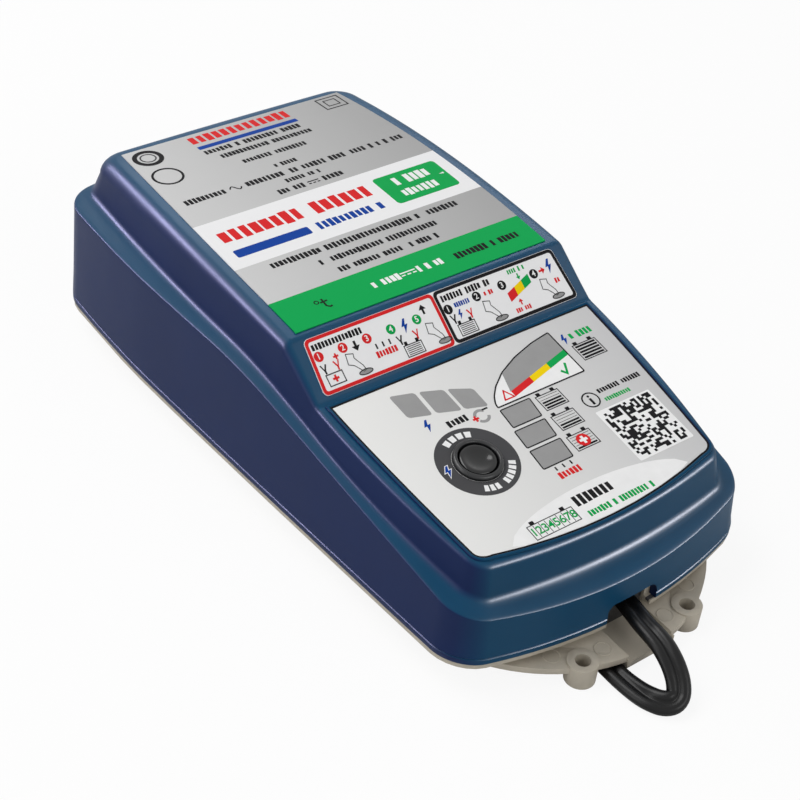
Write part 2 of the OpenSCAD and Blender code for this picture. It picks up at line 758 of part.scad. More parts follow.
module on_board(at) {
    translate([at.x, at.y, deck_z])
        children();
}
module main_board() {
    color("#1c5e3a") difference() {
        block([board_w, board_l, board_t], [0, board_y, board_z]);
        board_corners() post(screw_r + slip, board_z - eps, deck_z + eps);
    }
}
module board_screws() {
    color("#b8bcc2") board_corners() {
        post(screw_head_r, deck_z, deck_z + screw_head_h);
        post(screw_r, board_z - pilot_h + 1, deck_z);
    }
}
sheet_t = 0.4;
sheet_gap_x = 10;
sheet_gap_y = 3;
module insulation_sheet() {
    color("#e9e4cf") block([board_w - 2 * sheet_gap_x, board_l - 2 * sheet_gap_y, sheet_t],
        [0, board_y, floor_z]);
}
ribbon_w = 16;
ribbon_t = 0.8;
module ribbon_cable() {
    // It meets the display board's underside
    color("#8f9298") block([ribbon_w, ribbon_t, display_under_z(ribbon_y - ribbon_t / 2) - deck_z],
        [0, ribbon_y, deck_z]);
}

// ---- mains side ---------------------------------------------------------------------------------
gland_bore_r = 3.6;
gland_flange_r = 8;
gland_flange_t = 3;
gland_in = 8;
gland_end_t = 2;
terminal_size = [14, 8, 12];
wire_r = 1;
wire_gap = 2.4;
wire_z = 6;
module mains_gland() {
    color("#26282b") translate([0, case_rear_y, gland_z]) rotate([-90, 0, 0]) difference() {
        union() {
            post(gland_r - slip / 3, -gland_in, eps, $fn = fine);
            post(gland_flange_r, 0, gland_flange_t, $fn = fine);
            post(gland_flange_r, -wall - side_draft - gland_flange_t, -wall - side_draft, $fn = fine);
        }
        post(gland_bore_r, -gland_in + gland_end_t, gland_flange_t + eps, $fn = fine);
    }
}
module mains_terminal() {
    color("#2f7d4f") on_board(terminal_at) block(terminal_size, [0, 0, 0]);
}

// ---- tubes that follow a route ------------------------------------------------------------------
function unit(v) = v / norm(v);
function way_at(p, i) = unit(p[min(i + 1, len(p) - 1)] - p[max(i - 1, 0)]);
function square_to(v, t) = unit(v - t * (v * t));
// Points of a tube: p holds the centres, wide the directions of its width, section its outline
function tube_points(p, wide, section, ends) = [
    for (i = [0:len(p) - 1])
        let (
            t = i == 0 ? ends[0] : i == len(p) - 1 ? ends[1] : way_at(p, i),
            w = square_to(wide[i], t),
            n = cross(t, w)
        )
        for (q = section) p[i] + w * q.x + n * q.y
];
// Triangles of an end face, in strips across the section
function end_faces(from, m, flip) = [
    for (face = concat(
        [[0, 1, m - 1]],
        [for (j = [1:1:m / 2 - 2]) each [[j, j + 1, m - j - 1], [j, m - j - 1, m - j]]],
        [[m / 2 - 1, m / 2, m / 2 + 1]]
    )) fix([for (k = face) from + k], flip)
];
function tube_faces(n, m) = concat(
    end_faces(0, m, false),
    [for (i = [0:n - 2]) for (j = [0:m - 1])
        let (a = i * m + j, b = i * m + (j + 1) % m)
        each [[a, a + m, b], [b, a + m, b + m]]],
    end_faces((n - 1) * m, m, true)
);
module tube(p, wide, section, ends) {
    polyhedron(points = tube_points(p, wide, section, ends),
        faces = tube_faces(len(p), len(section)));
}
function round_section(r, n) = [for (i = [0:n - 1]) [r * cos(360 * i / n), r * sin(360 * i / n)]];
wire_sides = 8;

module wire(p, ends) {
    tube(p, [for (q = p) [1, 0, 0]], round_section(wire_r, wire_sides), ends);
}
module mains_wires() {
    from_y = case_rear_y - gland_in;
    to_y = terminal_at.y + terminal_size.y / 2;
    to_z = deck_z + wire_z;
    color("#7a4a2b") for (sx = [-1, 1]) wire([
        [sx * wire_gap, from_y, gland_z],
        [sx * wire_gap, from_y - 3, gland_z],
        [sx * wire_gap, from_y - 8, gland_z - 1],
        [sx * wire_gap, (from_y + to_y) / 2, (gland_z + to_z) / 2],
        [sx * wire_gap, to_y + 8, to_z + 1],
        [sx * wire_gap, to_y + 3, to_z],
        [sx * wire_gap, to_y, to_z]
    ], [[0, -1, 0], [0, -1, 0]]);
}
fuse_r = 2.6;
fuse_l = 20;
fuse_h = 4.5;
clip_w = 4;
module mains_fuse() {
    color("#d9dde0") on_board(fuse_at) translate([0, 0, fuse_h]) rotate([0, 90, 0])
        post(fuse_r, -fuse_l / 2, fuse_l / 2);
}
module fuse_clips() {
    color("#c2a25a") on_board(fuse_at) difference() {
        for (sx = [-1, 1]) block([clip_w, 2 * fuse_r + 2, fuse_h + 1], [sx * (fuse_l - clip_w) / 2, 0, 0]);
        translate([0, 0, fuse_h]) rotate([0, 90, 0]) post(fuse_r, -fuse_l, fuse_l);
    }
}
filter_r = 10;
filter_in_r = 6;
filter_h = 8;
coil_t = 1.2;
module ring_part(r_in, r_out, from, to, turn) {
    rotate([0, 0, -turn / 2]) rotate_extrude(angle = turn, $fn = fine) polygon([
        [r_in, from], [r_out, from], [r_out, to], [r_in, to]
    ]);
}
module noise_filter_core() {
    color("#3d4a44") on_board(filter_at) ring_part(filter_in_r, filter_r, coil_t, coil_t + filter_h, 360);
}
module noise_filter_coils() {
    coil_turn = 110;
    color("#b5652f") on_board(filter_at) for (side = [0, 180]) rotate([0, 0, side]) difference() {
        ring_part(filter_in_r - coil_t, filter_r + coil_t, 0, filter_h + 2 * coil_t, coil_turn);
        ring_part(filter_in_r, filter_r, coil_t, coil_t + filter_h, 360);
    }
}
film_size = [18, 9, 15];
module film_capacitor() {
    color("#d8a520") on_board(film_at) block(film_size, [0, 0, 0]);
}
bridge_size = [3.6, 20, 15];
bridge_leg_l = 2;
bridge_leg_w = 1;
bridge_leg_pitch = 5;
module bridge_rectifier() {
    color("#2b2c2e") on_board(bridge_at) {
        block(bridge_size, [0, 0, bridge_leg_l]);
        for (k = [-1.5:1:1.5])
            block([bridge_leg_w, bridge_leg_w, bridge_leg_l + eps], [0, k * bridge_leg_pitch, 0]);
    }
}
module main_capacitor() {
    color("#23324d") on_board(bulk_at) post(bulk_r, 0, bulk_h, $fn = fine);
}
module heat_sink(side) {
    translate([side * sink_x, sink_y, 0]) block([sink_t, sink_l, sink_h], [0, 0, deck_z]);
}
module primary_heat_sink() {
    color("#b9bdc1") heat_sink(-1);
}
module secondary_heat_sink() {
    color("#b9bdc1") heat_sink(1);
}
// A three-legged part that stands with its tab against a heat sink
tab_body = [4.5, 10, 15];
tab_leg_l = 3;
tab_leg_w = 0.8;
tab_leg_pitch = 2.5;
module tab_part(side) {
    translate([side * (sink_x - sink_t / 2 - tab_body.x / 2), sink_y, deck_z]) {
        block(tab_body, [0, 0, tab_leg_l]);
        for (k = [-1:1]) block([tab_leg_w, tab_leg_w, tab_leg_l + eps], [0, k * tab_leg_pitch, 0]);
    }
}
module power_transistor() {
    color("#2b2c2e") tab_part(-1);
}
module output_rectifier() {
    color("#2b2c2e") tab_part(1);
}
core_leg = 4.5;
core_post_r = 5;
bobbin_t = 1;
bobbin_r = winding_r + 0.3;
bobbin_pin_r = 0.5;
bobbin_pin_pitch = 5;
bobbin_pin_gap = 1.5;
module transformer_core() {
    color("#4a4d52") on_board(transformer_at) {
        difference() {
            block([core_w, core_d, core_h], [0, 0, 0]);
            block([core_w - 2 * core_leg, core_d + 2, core_h - 2 * core_leg], [0, 0, core_leg]);
        }
        post(core_post_r, core_leg - eps, core_h - core_leg + eps, $fn = fine);
    }
}
module transformer_bobbin() {
    tube_r = core_post_r + 1;
    color("#1f2022") on_board(transformer_at) {
        difference() {
            union() {
                post(tube_r, core_leg, core_h - core_leg, $fn = fine);
                post(bobbin_r, core_leg, core_leg + bobbin_t, $fn = fine);
                post(bobbin_r, core_h - core_leg - bobbin_t, core_h - core_leg, $fn = fine);
            }
            post(core_post_r + slip / 3, core_leg - eps, core_h, $fn = fine);
        }
        for (sx = [-1, 0, 1], sy = [-1, 1])
            translate([sx * bobbin_pin_pitch, sy * (core_d / 2 + bobbin_pin_gap), 0])
                post(bobbin_pin_r, 0, core_leg + eps, $fn = 16);
    }
}
module transformer_winding() {
    color("#e2c23c") on_board(transformer_at) difference() {
        post(winding_r, core_leg + bobbin_t, core_h - core_leg - bobbin_t, $fn = fine);
        post(core_post_r + 1, core_leg, core_h, $fn = fine);
    }
}
module output_choke() {
    color("#b5652f") on_board(output_choke_at) ring_part(choke_r / 2, choke_r, 0, choke_h, 360);
}
output_cap_r = 5;
output_cap_h = 16;
module output_capacitors() {
    color("#2c3a2f") for (x = output_caps_x)
        on_board([x, output_caps_y]) post(output_cap_r, 0, output_cap_h);
}
chip_size = [8, 20, 3.4];
module controller_chip() {
    color("#222326") on_board(chip_at) block(chip_size, [0, 0, 0]);
}
coupler_size = [6.5, 9, 3.5];
module optocoupler() {
    color("#e6e6e2") on_board(optocoupler_at) block(coupler_size, [0, 0, 0]);
}
sensor_r = 1.8;
sensor_leg_r = 0.3;
sensor_leg_l = 5;
sensor_pitch = 2;
module temperature_sensor() {
    color("#20304f") on_board(sensor_at) {
        for (sx = [-1, 1]) translate([sx * sensor_pitch / 2, 0, 0])
            post(sensor_leg_r, 0, sensor_leg_l, $fn = 16);
        translate([0, 0, sensor_leg_l + sensor_r - 1.3]) sphere(r = sensor_r, $fn = small);
    }
}

// ---- output side --------------------------------------------------------------------------------
relief_l = 7;
relief_h = 11;
relief_front_y = inner_front_y + 1.4;
lead_x = 1.5;
lead_exit_z = 11.3;
output_terminal_w = 12;
output_terminal_l = 8;
// Room kept between the terminal and the display board above it
output_terminal_room = 2.75;
output_terminal_h = display_under_z(output_terminal_at.y - output_terminal_l / 2) - deck_z
    - output_terminal_room;
module output_terminal() {
    color("#2f7d4f") on_board(output_terminal_at)
        block([output_terminal_w, output_terminal_l, output_terminal_h], [0, 0, 0]);
}
module strain_relief() {
    w = channel_w - 2 * slip;
    color("#1f2022") block([w, relief_l, relief_h],
        [channel_x, relief_front_y + relief_l / 2, floor_z - channel_depth]);
}
module output_wires() {
    from_y = relief_front_y + relief_l;
    to_y = output_terminal_at.y - output_terminal_l / 2;
    to_z = deck_z + output_terminal_h / 2;
    for (sx = [-1, 1]) color(sx < 0 ? "#b3262a" : "#202124") wire([
        [lead_x + sx * wire_gap, from_y, lead_exit_z],
        [lead_x + sx * wire_gap, from_y + 3, lead_exit_z],
        [lead_x + sx * wire_gap, from_y + 9, lead_exit_z + 3],
        [lead_x + sx * wire_gap, from_y + 16, to_z - 2],
        [lead_x + sx * wire_gap, to_y - 5, to_z],
        [lead_x + sx * wire_gap, to_y, to_z]
    ], [[0, 1, 0], [0, 1, 0]]);
}

// ---- lead ---------------------------------------------------------------------------------------
// Each stop of the lead: its place, the heading of its width in plan and how far the width tips up
lead_stops = [
    [1.5, -98.2, 11.3, 0, 0], [1, -103, 10.9, 0, 0], [0, -108, 11, 0, 0], [-0.5, -112, 11.2, 0, 0],
    [-0.8, -115.8, 10.8, 0, 5], [-1.2, -119.1, 9.7, 0, 10], [-1.7, -122.1, 8.1, 0, 20],
    [-2.5, -124.8, 6.1, 0, 35], [-4, -126.9, 4.2, 0, 50], [-6.2, -127.5, 3.4, 0, 55],
    [-8.3, -126.2, 2.9, 0, 40], [-9.8, -123.5, 2.6, 0, 20], [-10.6, -119.6, 2.1, 0, 5],
    [-11, -114, 1.75, 0, 0], [-11, -108, 1.75, 0, 0], [-11, -98, 1.75, 0, 0],
    [-11, -89, 1.75, -3, 0], [-9, -79, 1.75, -18, 0], [-4, -69, 1.75, -35, 0],
    [4, -61, 1.75, -52, 0], [15, -55, 1.75, -64, 0], [28, -50, 1.75, -66, 0], [40, -44, 1.75, -52, 0],
    [48, -35, 1.75, -33, 0], [52.2, -25, 1.75, -15, 0], [53.5, -14, 2, 0, 5],
    [53.5, -4, 2.7, 0, 25], [53.5, 6, 3.2, 0, 50], [53.5, 15, 3.7, 0, 75],
    [53.5, 24, 3.8, 0, 90], [53.5, 32, 3.8, 0, 90]
];
// Outline of the flat twin lead, with a groove along each face
function twin_section(w, t) = [
    [w / 2, 0], [w * 0.36, t / 2], [w * 0.12, t / 2], [0, t * 0.38], [-w * 0.12, t / 2],
    [-w * 0.36, t / 2], [-w / 2, 0], [-w * 0.36, -t / 2], [-w * 0.12, -t / 2], [0, -t * 0.38],
    [w * 0.12, -t / 2], [w * 0.36, -t / 2]
];
function width_way(stop) = [cos(stop[3]) * cos(stop[4]), sin(stop[3]) * cos(stop[4]), sin(stop[4])];
module lead_run() {
    p = [for (stop = lead_stops) [stop[0], stop[1], stop[2]]];
    color("#17181a") tube(p, [for (stop = lead_stops) width_way(stop)],
        twin_section(lead_w, lead_t), [[0, -1, 0], [0, 1, 0]]);
}

// The put-away lead: a flat hank that stands on its thin edge beside the case. Its inner end swings
// to the middle and carries the plug.
hank_z = 3.8;
hank_waist = 2.5;
hank_start = [53.5, 32];
hank_out_r = hank_r + hank_pitch * hank_turns;
hank_at = hank_start + [hank_out_r, hank_run / 2];
run_steps = 6;
fold_steps = 6;
tail_steps = 7;
plug_y = 8;
plug_x = -1;
function hank_radius(t) = hank_out_r - hank_pitch * t;
function pinch(v) = hank_waist * pow(sin(180 * v), 2);
// Place in the hank after leg 0 to 3 of a turn: out along the near side, fold, back, fold
function hank_leg(turn, leg, v) =
    let (r = hank_radius(turn + (leg == 1 ? v / 2 : leg == 2 ? 0.5 : leg == 3 ? 0.5 + v / 2 : 0)))
    leg == 0 ? [pinch(v) - r, hank_run * (v - 0.5)]
    : leg == 1 ? [-r * cos(180 * v), hank_run / 2 + r * sin(180 * v)]
    : leg == 2 ? [r - pinch(v), hank_run * (0.5 - v)]
    : [r * cos(180 * v), -hank_run / 2 - r * sin(180 * v)];
function hank_tail(v) = [
    (plug_x + hank_r) * (1 - cos(180 * v)) / 2 - hank_r,
    (plug_y + hank_run / 2) * v - hank_run / 2
];
hank_route = concat(
    [for (turn = [0:hank_turns - 1], leg = [0:3])
        let (n = leg % 2 == 0 ? run_steps : fold_steps)
        each [for (i = [0:n - 1]) hank_leg(turn, leg, i / n)]],
    [for (i = [0:tail_steps]) hank_tail(i / tail_steps)]
);
hank_points = [for (q = hank_route) [hank_at.x + q.x, hank_at.y + q.y, hank_z]];
function edge_section(w, t) = [
    [w / 2, -t * 0.25], [w / 2, t * 0.25], [0, t / 2], [-w / 2, t * 0.25], [-w / 2, -t * 0.25],
    [0, -t / 2]
];
module lead_hank() {
    color("#17181a") tube(hank_points, [for (q = hank_points) [0, 0, 1]],
        edge_section(lead_w, lead_t), [[0, 1, 0], [0, 1, 0]]);
}
// Least distance between two stretches of the hank that lie at least half a turn apart
function path_gap(p, q, r) = let (d = r - q, u = max(0, min(1, ((p - q) * d) / (d * d))))
    norm(p - q - d * u);
least_gap = min([
    for (i = [0:len(hank_points) - 1]) for (j = [i + fold_steps + run_steps:len(hank_points) - 2])
        path_gap(hank_points[i], hank_points[j], hank_points[j + 1])
]) - lead_t;
echo(least_gap_of_the_hank_to_itself = least_gap);

tie_w = 8;
tie_t = 0.3;
module lead_tie() {
    near = hank_out_r - pinch(0.5) + lead_t / 2 + air;
    far = near - hank_pitch / 2;
    low = hank_z - lead_w / 2 - slip / 3;
    high = hank_z + lead_w / 2 + slip / 3;
    color("#2b2c2e") translate([hank_at.x, hank_at.y - tie_w / 2, 0]) difference() {
        translate([-near - tie_t, 0, low - tie_t])
            cube([near + far + 2 * tie_t, tie_w, high - low + 2 * tie_t]);
        translate([-near, -eps, low])
            cube([near + far, tie_w + 2 * eps, high - low]);
    }
}
plug_size = [12, 28, 7.4];
pin_r = 1.6;
pin_gap = 3.1;
pin_l = 9;
shroud_r = 3;
module at_plug() {
    translate([hank_at.x + plug_x, hank_at.y + plug_y, hank_z])
        children();
}
module plug_shell() {
    color("#1d1e20") at_plug() difference() {
        union() {
            translate([-plug_size.x / 2, 0, -plug_size.z / 2]) cube(plug_size);
            translate([pin_gap, plug_size.y - eps, 0]) rotate([-90, 0, 0])
                post(shroud_r, 0, pin_l, $fn = fine);
        }
        translate([pin_gap, plug_size.y, 0]) rotate([-90, 0, 0]) post(pin_r + air, 0, pin_l + eps);
    }
}
module plug_pins() {
    color("#b9bdc1") at_plug() {
        translate([-pin_gap, plug_size.y, 0]) rotate([-90, 0, 0]) post(pin_r, 0, pin_l);
        translate([pin_gap, plug_size.y, 0]) rotate([-90, 0, 0]) post(pin_r, 0, pin_l - 1);
    }
}

upper_case();
base_tray();
case_seal();
case_screws();
rating_label();
instruction_label();
display_overlay();
button_bezel();
mode_button();
switch_plunger();
tact_switch();
light_guide();
status_leds();
display_board();
display_screws();
ribbon_cable();
main_board();
board_screws();
insulation_sheet();
mains_gland();
mains_terminal();
mains_wires();
mains_fuse();
fuse_clips();
noise_filter_core();
noise_filter_coils();
film_capacitor();
bridge_rectifier();
main_capacitor();
primary_heat_sink();
secondary_heat_sink();
power_transistor();
output_rectifier();
transformer_core();
transformer_winding();
transformer_bobbin();
output_choke();
output_capacitors();
controller_chip();
optocoupler();
temperature_sensor();
output_terminal();
output_wires();
strain_relief();
lead_run();
lead_hank();
lead_tie();
plug_shell();
plug_pins();
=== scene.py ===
"""Looks of a sealed battery charger: blue case, printed labels, grey base tray and twin lead.

Every size is in millimetres until a mesh is made; Blender objects are in metres.
"""

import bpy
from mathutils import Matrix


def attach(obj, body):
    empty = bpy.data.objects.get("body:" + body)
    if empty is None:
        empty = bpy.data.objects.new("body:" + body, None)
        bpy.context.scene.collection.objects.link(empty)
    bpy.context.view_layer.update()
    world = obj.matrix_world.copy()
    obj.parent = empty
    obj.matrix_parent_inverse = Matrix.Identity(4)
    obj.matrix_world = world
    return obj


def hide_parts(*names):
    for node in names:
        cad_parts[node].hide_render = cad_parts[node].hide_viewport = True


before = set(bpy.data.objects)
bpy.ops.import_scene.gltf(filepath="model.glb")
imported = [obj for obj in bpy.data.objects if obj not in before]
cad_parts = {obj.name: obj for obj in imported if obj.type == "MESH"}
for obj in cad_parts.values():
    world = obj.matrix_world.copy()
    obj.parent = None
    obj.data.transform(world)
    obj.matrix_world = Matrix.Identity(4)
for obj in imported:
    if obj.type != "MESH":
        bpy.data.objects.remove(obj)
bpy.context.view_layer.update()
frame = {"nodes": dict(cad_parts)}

import logging
import math
from dataclasses import dataclass, field
from enum import Enum
from typing import Any, Callable, Iterable, Optional, Sequence

import bmesh
import bpy
from mathutils import Matrix, Vector

log = logging.getLogger("charger")
Point = tuple[float, float]
Place = tuple[float, float, float]
Shape = list[Point]
Form = tuple[list[Place], list[list[int]]]
Tree = bpy.types.NodeTree
Table = Sequence[Sequence[Any]]
Mesh = bpy.types.Mesh
Object = bpy.types.Object
MM = 0.001
BODY = "charger"
# Least distance in mm from an axis, under which a point is on it
ON_AXIS = 1e-6
# The part of a noise's range that most of its values fill, and how rough its finer octaves are
NOISE_SPAN = (0.3, 0.7)
NOISE_ROUGHNESS = 0.55
# Bands in one unit of the wave texture at scale 1
WAVE_BANDS = 20


# ---- colour and nodes ---------------------------------------------------------------------------


def linear(code: str, gain: float = 1.0) -> tuple[float, float, float, float]:
    """Turns an sRGB hex colour to Blender's linear values.

    Args:
        code: six hex digits with a leading #.
        gain: how much lighter it is made, up to full.

    Returns:
        Red, green, blue and alpha, linear.
    """
    parts = [int(code[k : k + 2], 16) / 255 for k in (1, 3, 5)]
    lit = (c / 12.92 if c <= 0.04045 else ((c + 0.055) / 1.055) ** 2.4 for c in parts)
    return (*(min(1.0, c * gain) for c in lit), 1.0)


def add_node(
    tree: Tree,
    kind: str,
    values: Optional[dict[Any, Any]] = None,
    links: Optional[dict[Any, Any]] = None,
    stops: Sequence[tuple[float, Sequence[float]]] = (),
    **settings: Any,
) -> bpy.types.Node:
    """Adds a node with its settings, socket values, colour stops and links.

    Args:
        tree: the shader or geometry tree.
        kind: the node's type name.
        values: default values by socket name or number.
        links: source sockets by input name or number.
        stops: place and linear colour of each stop of a colour ramp, from low to high.
        settings: properties of the node itself.

    Returns:
        The new node.
    """
    node = tree.nodes.new(kind)
    for key, value in settings.items():
        setattr(node, key, value)
    for key, value in (values or {}).items():
        node.inputs[key].default_value = value
    for key, source in (links or {}).items():
        tree.links.new(source, node.inputs[key])
    for k, (place, colour) in enumerate(stops):
        made = node.color_ramp.elements
        stop = made[k] if k < len(made) else made.new(place)
        stop.position = place
        stop.color = colour
    return node


# ---- finishes -----------------------------------------------------------------------------------


@dataclass(frozen=True)
class Finish:
    """A surface finish, with the grain that its making leaves.

    Attributes:
        name: the material's name.
        colour: sRGB hex of the middle tone.
        roughness: middle roughness.
        metallic: 1 for a bare metal.
        ior: index of refraction.
        shade: how far patches vary from the colour, as a share.
        patch: size of those patches in mm.
        grain: size of the surface grain in mm.
        depth: height of the grain in mm.
        bump: strength of the grain's shading.
        rough_spread: how far the roughness varies.
        coat: clear coat weight.
        coat_roughness: roughness of that coat.
        transmission: share of light let through.
        specular: strength of the uncoated shine, 0.5 as the index of refraction gives it.
    """

    name: str
    colour: str
    roughness: float
    metallic: float = 0.0
    ior: float = 1.5
    shade: float = 0.06
    patch: float = 12.0
    grain: float = 0.6
    depth: float = 0.01
    bump: float = 1.0
    rough_spread: float = 0.06
    coat: float = 0.0
    coat_roughness: float = 0.1
    transmission: float = 0.0
    specular: float = 0.5

    def material(self) -> bpy.types.Material:
        """Makes the node material, or finds the one already made.

        Returns:
            The material.
        """
        found = bpy.data.materials.get(self.name)
        if found:
            return found
        mat = bpy.data.materials.new(self.name)
        mat.use_nodes = True
        tree = mat.node_tree
        tree.nodes.clear()
        place = add_node(tree, "ShaderNodeTexCoord").outputs["Object"]
        handled = add_node(
            tree, "ShaderNodeTexNoise",
            {"Scale": 1 / (self.patch * 0.6 * MM), "Detail": 4.0, "Roughness": NOISE_ROUGHNESS},
            {"Vector": place},
        )
        rough = add_node(
            tree, "ShaderNodeMapRange",
            {
                "From Min": NOISE_SPAN[0],
                "From Max": NOISE_SPAN[1],
                "To Min": max(0.02, self.roughness - self.rough_spread),
                "To Max": self.roughness + self.rough_spread,
            },
            {"Value": handled.outputs["Fac"]},
        )
        bump = add_node(
            tree, "ShaderNodeBump", {"Strength": self.bump, "Distance": self.depth * MM},
            {"Height": self.height(tree, place)},
        )
        bsdf = add_node(
            tree, "ShaderNodeBsdfPrincipled",
            {
                "Metallic": self.metallic,
                "IOR": self.ior,
                "Coat Weight": self.coat,
                "Coat Roughness": self.coat_roughness,
                "Transmission Weight": self.transmission,
                "Specular IOR Level": self.specular,
            },
            {
                "Base Color": self.tone(tree, place),
                "Roughness": rough.outputs["Result"],
                "Normal": bump.outputs["Normal"],
            },
        )
        add_node(tree, "ShaderNodeOutputMaterial", links={"Surface": bsdf.outputs[0]})
        mat.diffuse_color = linear(self.colour)
        return mat

    def tone(self, tree: Tree, place: Any) -> Any:
        """Returns the colour socket, of the finish's own colour."""
        return self.blotches(tree, place, self.colour)

    def blotches(self, tree: Tree, place: Any, colour: str) -> Any:
        """Makes a colour with slow, faint blotches.

        Args:
            tree: the material's tree.
            place: its coordinate socket.
            colour: sRGB hex of the middle tone.

        Returns:
            The colour socket.
        """
        noise = add_node(
            tree, "ShaderNodeTexNoise",
            {"Scale": 1 / (self.patch * MM), "Detail": 3.0, "Roughness": NOISE_ROUGHNESS},
            {"Vector": place},
        )
        tones = [linear(colour, gain) for gain in (1 - self.shade, 1 + self.shade)]
        ramp = add_node(
            tree, "ShaderNodeValToRGB", links={"Fac": noise.outputs["Fac"]},
            stops=list(zip(NOISE_SPAN, tones)),
        )
        return ramp.outputs["Color"]

    def height(self, tree: Tree, place: Any) -> Any:
        """Makes the grain that stands out of the surface.

        Args:
            tree: the material's tree.
            place: its coordinate socket.

        Returns:
            The height socket.
        """
        grain = add_node(
            tree, "ShaderNodeTexNoise",
            {"Scale": 1 / (self.grain * MM), "Detail": 2.0, "Roughness": NOISE_ROUGHNESS},
            {"Vector": place},
        )
        return grain.outputs["Fac"]


@dataclass(frozen=True)
class MouldedBlue(Finish):
    """Satin ABS of the case: greenish blue, with painted shade and a painted violet reflection that
    make walls facing -X deeper and more violet.

    Attributes:
        painted_shade_colour: sRGB hex of the painted shade and violet reflection on those walls.
        turn: the normal's X where that painted shade is whole, and where it is gone.
    """

    painted_shade_colour: str = "#13254f"
    turn: Point = (-0.85, -0.3)

    def tone(self, tree: Tree, place: Any) -> Any:
        """Paints shade and a violet reflection on faces by how far they look to -X, mixing the two
        colours.

        Args:
            tree: the material's tree.
            place: its coordinate socket.

        Returns:
            The colour socket.
        """
        # Walls that face -X get painted shade and a painted violet reflection, mixed in by the
        # normal's X.
        wall, top = (self.blotches(tree, place, c) for c in (self.painted_shade_colour, self.colour))
        normal = add_node(tree, "ShaderNodeNewGeometry").outputs["Normal"]
        parts = add_node(tree, "ShaderNodeSeparateXYZ", links={"Vector": normal})
        side = add_node(
            tree, "ShaderNodeMapRange", {"From Min": self.turn[0], "From Max": self.turn[1]},
            {"Value": parts.outputs["X"]},
        )
        mix = add_node(
            tree, "ShaderNodeMix", links={0: side.outputs["Result"], 6: wall, 7: top},
            data_type="RGBA",
        )
        return mix.outputs[2]


@dataclass(frozen=True)
class PrintedFilm(Finish):
    """Satin film whose silver ground fades across the charger into painted shade at its +X side.

    Attributes:
        painted_far_shade: sRGB hex of the painted shade at its +X side.
        half_width: how far it runs to either side, in mm.
    """

    painted_far_shade: str = "#b4b4b5"
    half_width: float = 45.0

    def reach(self, tree: Tree, part: Any, low: float, high: float) -> Any:
        """Measures how far a point lies along one direction of the film.

        Args:
            tree: the material's tree.
            part: the coordinate socket of that direction.
            low: where it starts in mm.
            high: where it ends in mm.

        Returns:
            The socket of its share of the way.
        """
        share = add_node(
            tree, "ShaderNodeMapRange", {"From Min": low * MM, "From Max": high * MM},
            {"Value": part},
        )
        return share.outputs["Result"]

    def tone(self, tree: Tree, place: Any) -> Any:
        """Fades the colour from the -X side to the painted shade at the +X side.

        Args:
            tree: the material's tree.
            place: its coordinate socket.

        Returns:
            The colour socket.
        """
        parts = add_node(tree, "ShaderNodeSeparateXYZ", links={"Vector": place}).outputs
        ramp = add_node(
            tree, "ShaderNodeValToRGB",
            links={"Fac": self.reach(tree, parts["X"], -self.half_width, self.half_width)},
            stops=((0.0, linear(self.colour)), (1.0, linear(self.painted_far_shade))),
        )
        return ramp.outputs["Color"]


@dataclass(frozen=True)
class BandedFilm(PrintedFilm):
    """Satin film of the rating label, printed in bands across the charger, its silver bands fading
    into painted shade at +X.

    Attributes:
        white: sRGB hex of the white band.
        green: sRGB hex of the green band.
        front_y: where the bands start, in mm.
        rear_y: where they end.
        bands: where the green, the lower silver and the white band end.
    """

    white: str = "#efeff0"
    green: str = "#12a553"
    front_y: float = -8.0
    rear_y: float = 92.0
    bands: Sequence[float] = (6.0, 22.6, 45.8)

    def tone(self, tree: Tree, place: Any) -> Any:
        """Lays the bands, green, silver, white and silver from front to rear, the silver ones
        fading into painted shade at +X.

        Args:
            tree: the material's tree.
            place: its coordinate socket.

        Returns:
            The colour socket.
        """
        parts = add_node(tree, "ShaderNodeSeparateXYZ", links={"Vector": place}).outputs
        along = self.reach(tree, parts["Y"], self.front_y, self.rear_y)
        across = self.reach(tree, parts["X"], -self.half_width, self.half_width)
        starts = [0.0] + [(y - self.front_y) / (self.rear_y - self.front_y) for y in self.bands]
        sides = []
        # The silver bands fade from the -X side into painted shade at the +X side.
        for silver in (self.colour, self.painted_far_shade):
            colours = [linear(c) for c in (self.green, silver, self.white, silver)]
            ramp = add_node(
                tree, "ShaderNodeValToRGB", links={"Fac": along}, stops=list(zip(starts, colours))
            )
            ramp.color_ramp.interpolation = "CONSTANT"
            sides.append(ramp.outputs["Color"])
        mix = add_node(
            tree, "ShaderNodeMix", links={0: across, 6: sides[0], 7: sides[1]}, data_type="RGBA"
        )
        return mix.outputs[2]


@dataclass(frozen=True)
class RolledMetal(Finish):
    """Sheet or drawn metal, its grain drawn out into fine lines.

    Attributes:
        stretch: scale of the grain along each axis, least along the lines.
    """

    metallic: float = 1.0
    stretch: Place = (1 / 12, 1.0, 1.0)

    def height(self, tree: Tree, place: Any) -> Any:
        """Returns the height socket of the lines."""
        drawn = add_node(tree, "ShaderNodeMapping", {"Scale": self.stretch}, {"Vector": place})
        return super().height(tree, drawn.outputs["Vector"])


@dataclass(frozen=True)
class WoundWire(Finish):
    """Wire or tape in even turns, drawn as bands of a wave.

    Attributes:
        turn: distance from turn to turn in mm.
        bands: the axis that the bands cross.
    """

    bump: float = 0.8
    turn: float = 0.6
    bands: str = "Z"

    def height(self, tree: Tree, place: Any) -> Any:
        """Makes one band to a turn of the wire.

        Args:
            tree: the material's tree.
            place: its coordinate socket.

        Returns:
            The height socket.
        """
        wave = add_node(
            tree, "ShaderNodeTexWave",
            {"Scale": 1 / (self.turn * MM * WAVE_BANDS), "Distortion": 0.4, "Detail": 1.0},
            {"Vector": place}, wave_type="BANDS", bands_direction=self.bands,
        )
        return wave.outputs["Fac"]


